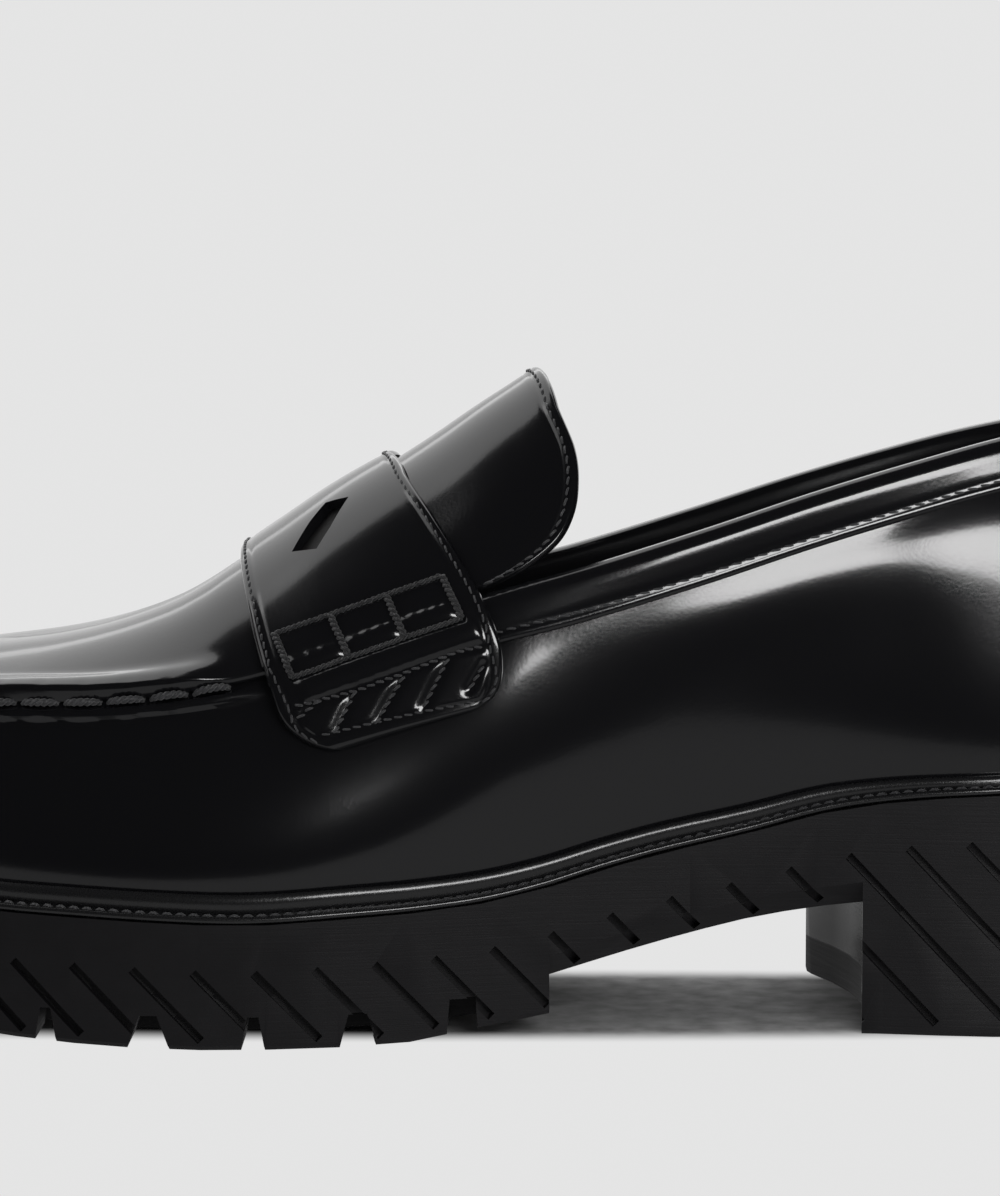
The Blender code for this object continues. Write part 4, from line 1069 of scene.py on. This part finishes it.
def build_welt():
    """The storm welt: a stitched ledge at the sole's edge and a rounded ridge against the upper."""
    stations = stations_through(230)
    thread = Thread()
    rings = []
    seam = []
    for side in SIDES:
        picked = stations if side > 0 else stations[-2:0:-1]
        ridge = ease(picked, WELT["station"], WELT["ridge"])
        x = SOLE.back + picked / LENGTH * (SOLE.front - SOLE.back)
        edge = np.stack([x, SOLE.y(x, side), sole_top(x) + GAP], -1)
        inward = SOLE.inward_at(x, side)
        walls = np.array([upper_point(picked, side, girth) for girth in np.linspace(0, 0.5, 40)])
        rises = walls[..., 2] - walls[:1, :, 2]

        def on_wall(rise):
            rise = np.broadcast_to(rise, picked.shape)
            return np.array([[np.interp(rise[i], rises[:, i], walls[:, i, k]) for k in range(3)]
                             for i in range(len(picked))])

        def by_edge(inset, rise):
            return edge + inward * inset + UP * rise

        def by_wall(back, rise):
            return on_wall(rise) - inward * (GAP + back)

        profile = [by_edge(0.5, 0.0), by_edge(0.2, 0.25), by_edge(0.1, 0.7), by_edge(0.3, 1.15),
                   by_edge(0.75, 1.35), by_edge(1.25, 1.05), by_edge(1.75, 1.0)]
        profile += [by_wall(1.75, 1.5), by_wall(1.95, ridge * 0.45), by_wall(1.8, ridge * 0.72),
                    by_wall(1.4, ridge * 0.9), by_wall(0.85, ridge), by_wall(0.3, ridge - 0.2),
                    by_wall(0.0, ridge - 0.7), by_wall(0.0, ridge / 2), by_wall(0.0, 0.0)]
        rings.append(np.array(profile).transpose(1, 0, 2))
        seam.append(by_edge(1.45, 1.1))
    rings = np.concatenate(rings)
    count, width = rings.shape[:2]
    faces = grid_faces(count, width, wrap=True).tolist()
    start = (count - 1) * width
    for j in range(width):
        k = (j + 1) % width
        faces.append([start + j, start + k, k, j])
    add_piece("storm_welt", rings.reshape(-1, 3), faces, WELT_LEATHER, "edge_leather", ("welt",), 60)
    line = np.concatenate(seam)
    line = np.concatenate([line, line[:1]])
    thread.row(line, np.tile(UP, (len(line), 1)), *WELT_ROW)
    thread.finish("welt_stitches", THREAD, "edge_leather")


def node_tree(name):
    material = bpy.data.materials.new(name)
    material.use_nodes = True
    tree = material.node_tree
    return material, tree, tree.nodes["Principled BSDF"]


def add_node(tree, kind, inputs=None, **settings):
    node = tree.nodes.new(kind)
    for key, value in settings.items():
        setattr(node, key, value)
    for key, value in (inputs or {}).items():
        if isinstance(value, bpy.types.NodeSocket):
            tree.links.new(value, node.inputs[key])
        else:
            node.inputs[key].default_value = value
    return node


def object_place(tree, scale=(1000.0, 1000.0, 1000.0)):
    """The place on the shoe, in millimetres unless scaled otherwise."""
    place = add_node(tree, "ShaderNodeTexCoord").outputs["Object"]
    return add_node(tree, "ShaderNodeMapping", {"Vector": place, "Scale": scale}).outputs[0]


def remap(tree, value, low, high, start=0.0, end=1.0, **settings):
    """A value that runs from start to end, spread between two others."""
    inputs = {"Value": value, "From Min": start, "From Max": end, "To Min": low, "To Max": high}
    return add_node(tree, "ShaderNodeMapRange", inputs, **settings).outputs[0]


def noise(tree, place, scale, detail):
    inputs = {"Vector": place, "Scale": scale, "Detail": detail}
    return add_node(tree, "ShaderNodeTexNoise", inputs).outputs[0]


def parts_of(tree, vector):
    return add_node(tree, "ShaderNodeSeparateXYZ", {"Vector": vector}).outputs


def product(tree, first, second):
    return add_node(tree, "ShaderNodeMath", {0: first, 1: second}, operation="MULTIPLY").outputs[0]


def relief(tree, height, depth, under=None):
    """The facing of a surface with a fine relief of a depth in millimetres, over another one."""
    inputs = {"Height": height, "Strength": 1.0, "Distance": depth * MM}
    if under is not None:
        inputs["Normal"] = under
    return add_node(tree, "ShaderNodeBump", inputs).outputs[0]


def leather(name, colour, gloss, grain, wave):
    """Box leather: a fine pebble grain under a smooth shine, and slow waves in the hide."""
    material, tree, shader = node_tree(name)
    place = object_place(tree)
    shader.inputs["Base Color"].default_value = (*colour, 1)
    shader.inputs["IOR"].default_value = 1.5
    shader.inputs["Coat Weight"].default_value = 0.55
    shader.inputs["Coat Roughness"].default_value = gloss * 0.6
    cells = add_node(tree, "ShaderNodeTexVoronoi", {"Vector": place, "Scale": 1.5}, feature="SMOOTH_F1")
    pores = noise(tree, place, 2.6, 5.0)
    tree.links.new(remap(tree, pores, gloss * 0.85, gloss * 1.25), shader.inputs["Roughness"])
    waves = relief(tree, noise(tree, place, 0.075, 2.0), wave)
    pebble = relief(tree, cells.outputs[0], grain, waves)
    tree.links.new(relief(tree, pores, grain * 0.8, pebble), shader.inputs["Normal"])
    tree.links.new(waves, shader.inputs["Coat Normal"])
    return material


def rubber(name, colour):
    """Moulded rubber with fine level brush lines and a matt bloom, smooth on the heel's front."""
    material, tree, shader = node_tree(name)
    place = object_place(tree)
    brush = noise(tree, object_place(tree, (60.0, 60.0, 2600.0)), 1.0, 4.0)
    lighter = [part * 1.7 for part in colour]
    shade = add_node(tree, "ShaderNodeMix", {"Factor": noise(tree, place, 0.22, 5.0), "A": (*colour, 1),
                                             "B": (*lighter, 1)}, data_type="RGBA")
    tree.links.new(shade.outputs[2], shader.inputs["Base Color"])
    facing = parts_of(tree, add_node(tree, "ShaderNodeNewGeometry").outputs["Normal"])
    spot = parts_of(tree, place)
    forward = remap(tree, facing[0], 0.0, 1.0, 0.5, 0.8)
    heel = remap(tree, spot[0], 0.0, 1.0, -64.0, -66.0)
    above = remap(tree, spot[2], 0.0, 1.0, 7.6, 8.0)
    mask = product(tree, product(tree, forward, heel), above)
    matt = remap(tree, brush, 0.45, 0.68)
    rough = add_node(tree, "ShaderNodeMix", {0: mask, 2: matt, 3: 0.12})
    tree.links.new(rough.outputs[0], shader.inputs["Roughness"])
    shader.inputs["Specular IOR Level"].default_value = 0.3
    lines = relief(tree, brush, 0.05)
    tree.links.new(relief(tree, noise(tree, place, 3.2, 3.0), 0.03, lines), shader.inputs["Normal"])
    return material


def soft_leather(name, colour):
    """Lining leather, smooth and matt with a fine grain."""
    material, tree, shader = node_tree(name)
    place = object_place(tree)
    grain = add_node(tree, "ShaderNodeTexVoronoi", {"Vector": place, "Scale": 1.1})
    shader.inputs["Base Color"].default_value = (*colour, 1)
    tree.links.new(remap(tree, noise(tree, place, 0.12, 4.0), 0.5, 0.72), shader.inputs["Roughness"])
    tree.links.new(relief(tree, grain.outputs[0], 0.05), shader.inputs["Normal"])
    return material


def waxed_thread(name, colour):
    """Waxed thread with its fibres wound round."""
    material, tree, shader = node_tree(name)
    inputs = {"Vector": object_place(tree), "Scale": 1.6, "Distortion": 2.0}
    fibre = add_node(tree, "ShaderNodeTexWave", inputs, bands_direction="DIAGONAL").outputs[1]
    shader.inputs["Base Color"].default_value = (*colour, 1)
    shader.inputs["Sheen Weight"].default_value = 0.15
    tree.links.new(remap(tree, fibre, 0.3, 0.5), shader.inputs["Roughness"])
    tree.links.new(relief(tree, fibre, 0.06), shader.inputs["Normal"])
    return material


SHINE = leather("shine_leather_black", (0.0038, 0.0038, 0.0044), 0.16, 0.008, 0.035)
WELT_LEATHER = leather("edge_leather_black", (0.006, 0.006, 0.0065), 0.26, 0.02, 0.1)
RUBBER = rubber("sole_rubber_black", (0.003, 0.0027, 0.0034))
LINING = soft_leather("lining_black", (0.008, 0.0075, 0.0075))
THREAD = waxed_thread("thread_black", (0.02, 0.02, 0.022))
CORD = waxed_thread("cord_black", (0.007, 0.007, 0.008))


def paper(name):
    """A material without nodes but its output, for the floors."""
    material = bpy.data.materials.new(name)
    material.use_nodes = True
    tree = material.node_tree
    tree.nodes.clear()
    return material, tree, add_node(tree, "ShaderNodeOutputMaterial").inputs[0]


def glow(tree, strength):
    inputs = {"Color": (1, 1, 1, 1), "Strength": strength}
    return add_node(tree, "ShaderNodeEmission", inputs).outputs[0]


def stage_floor():
    """A pale floor: lit paper near the shoe, painted dark and mottled in a patch under the waist as painted
    shadow, that turns into even paper further out.
    """
    near_material, tree, surface = paper("floor_paper_painted_shadow")
    place = add_node(tree, "ShaderNodeTexCoord").outputs["Object"]
    # The patch round the shadow under the waist, where the floor is lit paper; outside it the paper glows
    # evenly.
    squeeze = add_node(tree, "ShaderNodeMapping", {"Vector": place, "Location": (0.0, -0.176, 0.0),
                                                   "Scale": (4.6, 29.4, 1.0)})
    far = add_node(tree, "ShaderNodeVectorMath", {0: squeeze.outputs[0]}, operation="LENGTH")
    share = remap(tree, far.outputs["Value"], 0.0, 1.0, 0.82, 1.2, interpolation_type="SMOOTHSTEP")
    # Painted shadow: inside the patch the paper's tone is dark and mottled, deepening the shadow under the
    # shoe.
    painted_shadow_tone = remap(tree, noise(tree, place, 170.0, 6.0), 0.1, 0.42)
    lit = add_node(tree, "ShaderNodeBsdfDiffuse", {"Color": painted_shadow_tone}).outputs[0]
    mix = add_node(tree, "ShaderNodeMixShader", {0: share, 1: lit, 2: glow(tree, PALE)})
    tree.links.new(mix.outputs[0], surface)
    even_material, tree, surface = paper("even_paper")
    tree.links.new(glow(tree, PALE), surface)
    dim_material, tree, surface = paper("dim_paper")
    depth = parts_of(tree, add_node(tree, "ShaderNodeTexCoord").outputs["Object"])[1]
    tree.links.new(glow(tree, remap(tree, depth, BOUNCE, PALE, -0.05, -0.25)), surface)
    materials = (near_material, dim_material, even_material)
    for (name, (x, y, back, height)), material in zip(FLOORS.items(), materials):
        mesh = bpy.data.meshes.new(name)
        corners = [(-x, -back, height), (x, -back, height), (x, y, height), (-x, y, height)]
        mesh.from_pydata(corners, [], [(0, 1, 2, 3)])
        mesh.materials.append(material)
        item = linked(name, mesh)
        item.visible_glossy = name == "floor_bounce"
        item.visible_camera = name != "floor_bounce"
        item.visible_diffuse = name == "floor_near"


def card(name, place, target, size, power):
    """A soft light panel that faces the target."""
    light = bpy.data.lights.new(name, "AREA")
    light.shape = "RECTANGLE"
    light.size, light.size_y = size
    light.energy = power
    item = linked(name, light)
    item.location = place
    item.rotation_euler = (Vector(target) - Vector(place)).to_track_quat("-Z", "Y").to_euler()
    item.visible_camera = False


def stage_lights():
    for row in LIGHTS:
        card(*row)
    sky = bpy.data.worlds.new("studio")
    bpy.context.scene.world = sky
    sky.use_nodes = True
    background = sky.node_tree.nodes["Background"]
    background.inputs[0].default_value = (PALE, PALE, PALE, 1)
    background.inputs[1].default_value = 1.0
    sky.cycles_visibility.glossy = False
    sky.cycles_visibility.diffuse = True


def make_camera():
    data = bpy.data.cameras.new("camera")
    data.sensor_width = SENSOR
    data.lens = LENS
    data.clip_start = 0.01
    item = linked("camera", data)
    item.location = CAMERA_PLACE
    item.rotation_euler = (math.radians(90 - CAMERA_PITCH), 0, math.radians(180))
    bpy.context.scene.camera = item


bpy.context.scene.view_settings.view_transform = "Standard"
make_camera()
stage_floor()
stage_lights()
build_upper()
build_lining()
build_apron()
build_hand_stitches()
build_strap()
build_tongue()
build_binding()
build_welt()
build_sole()
for place in frame["nodes"]["insole"].material_slots:
    place.material = LINING
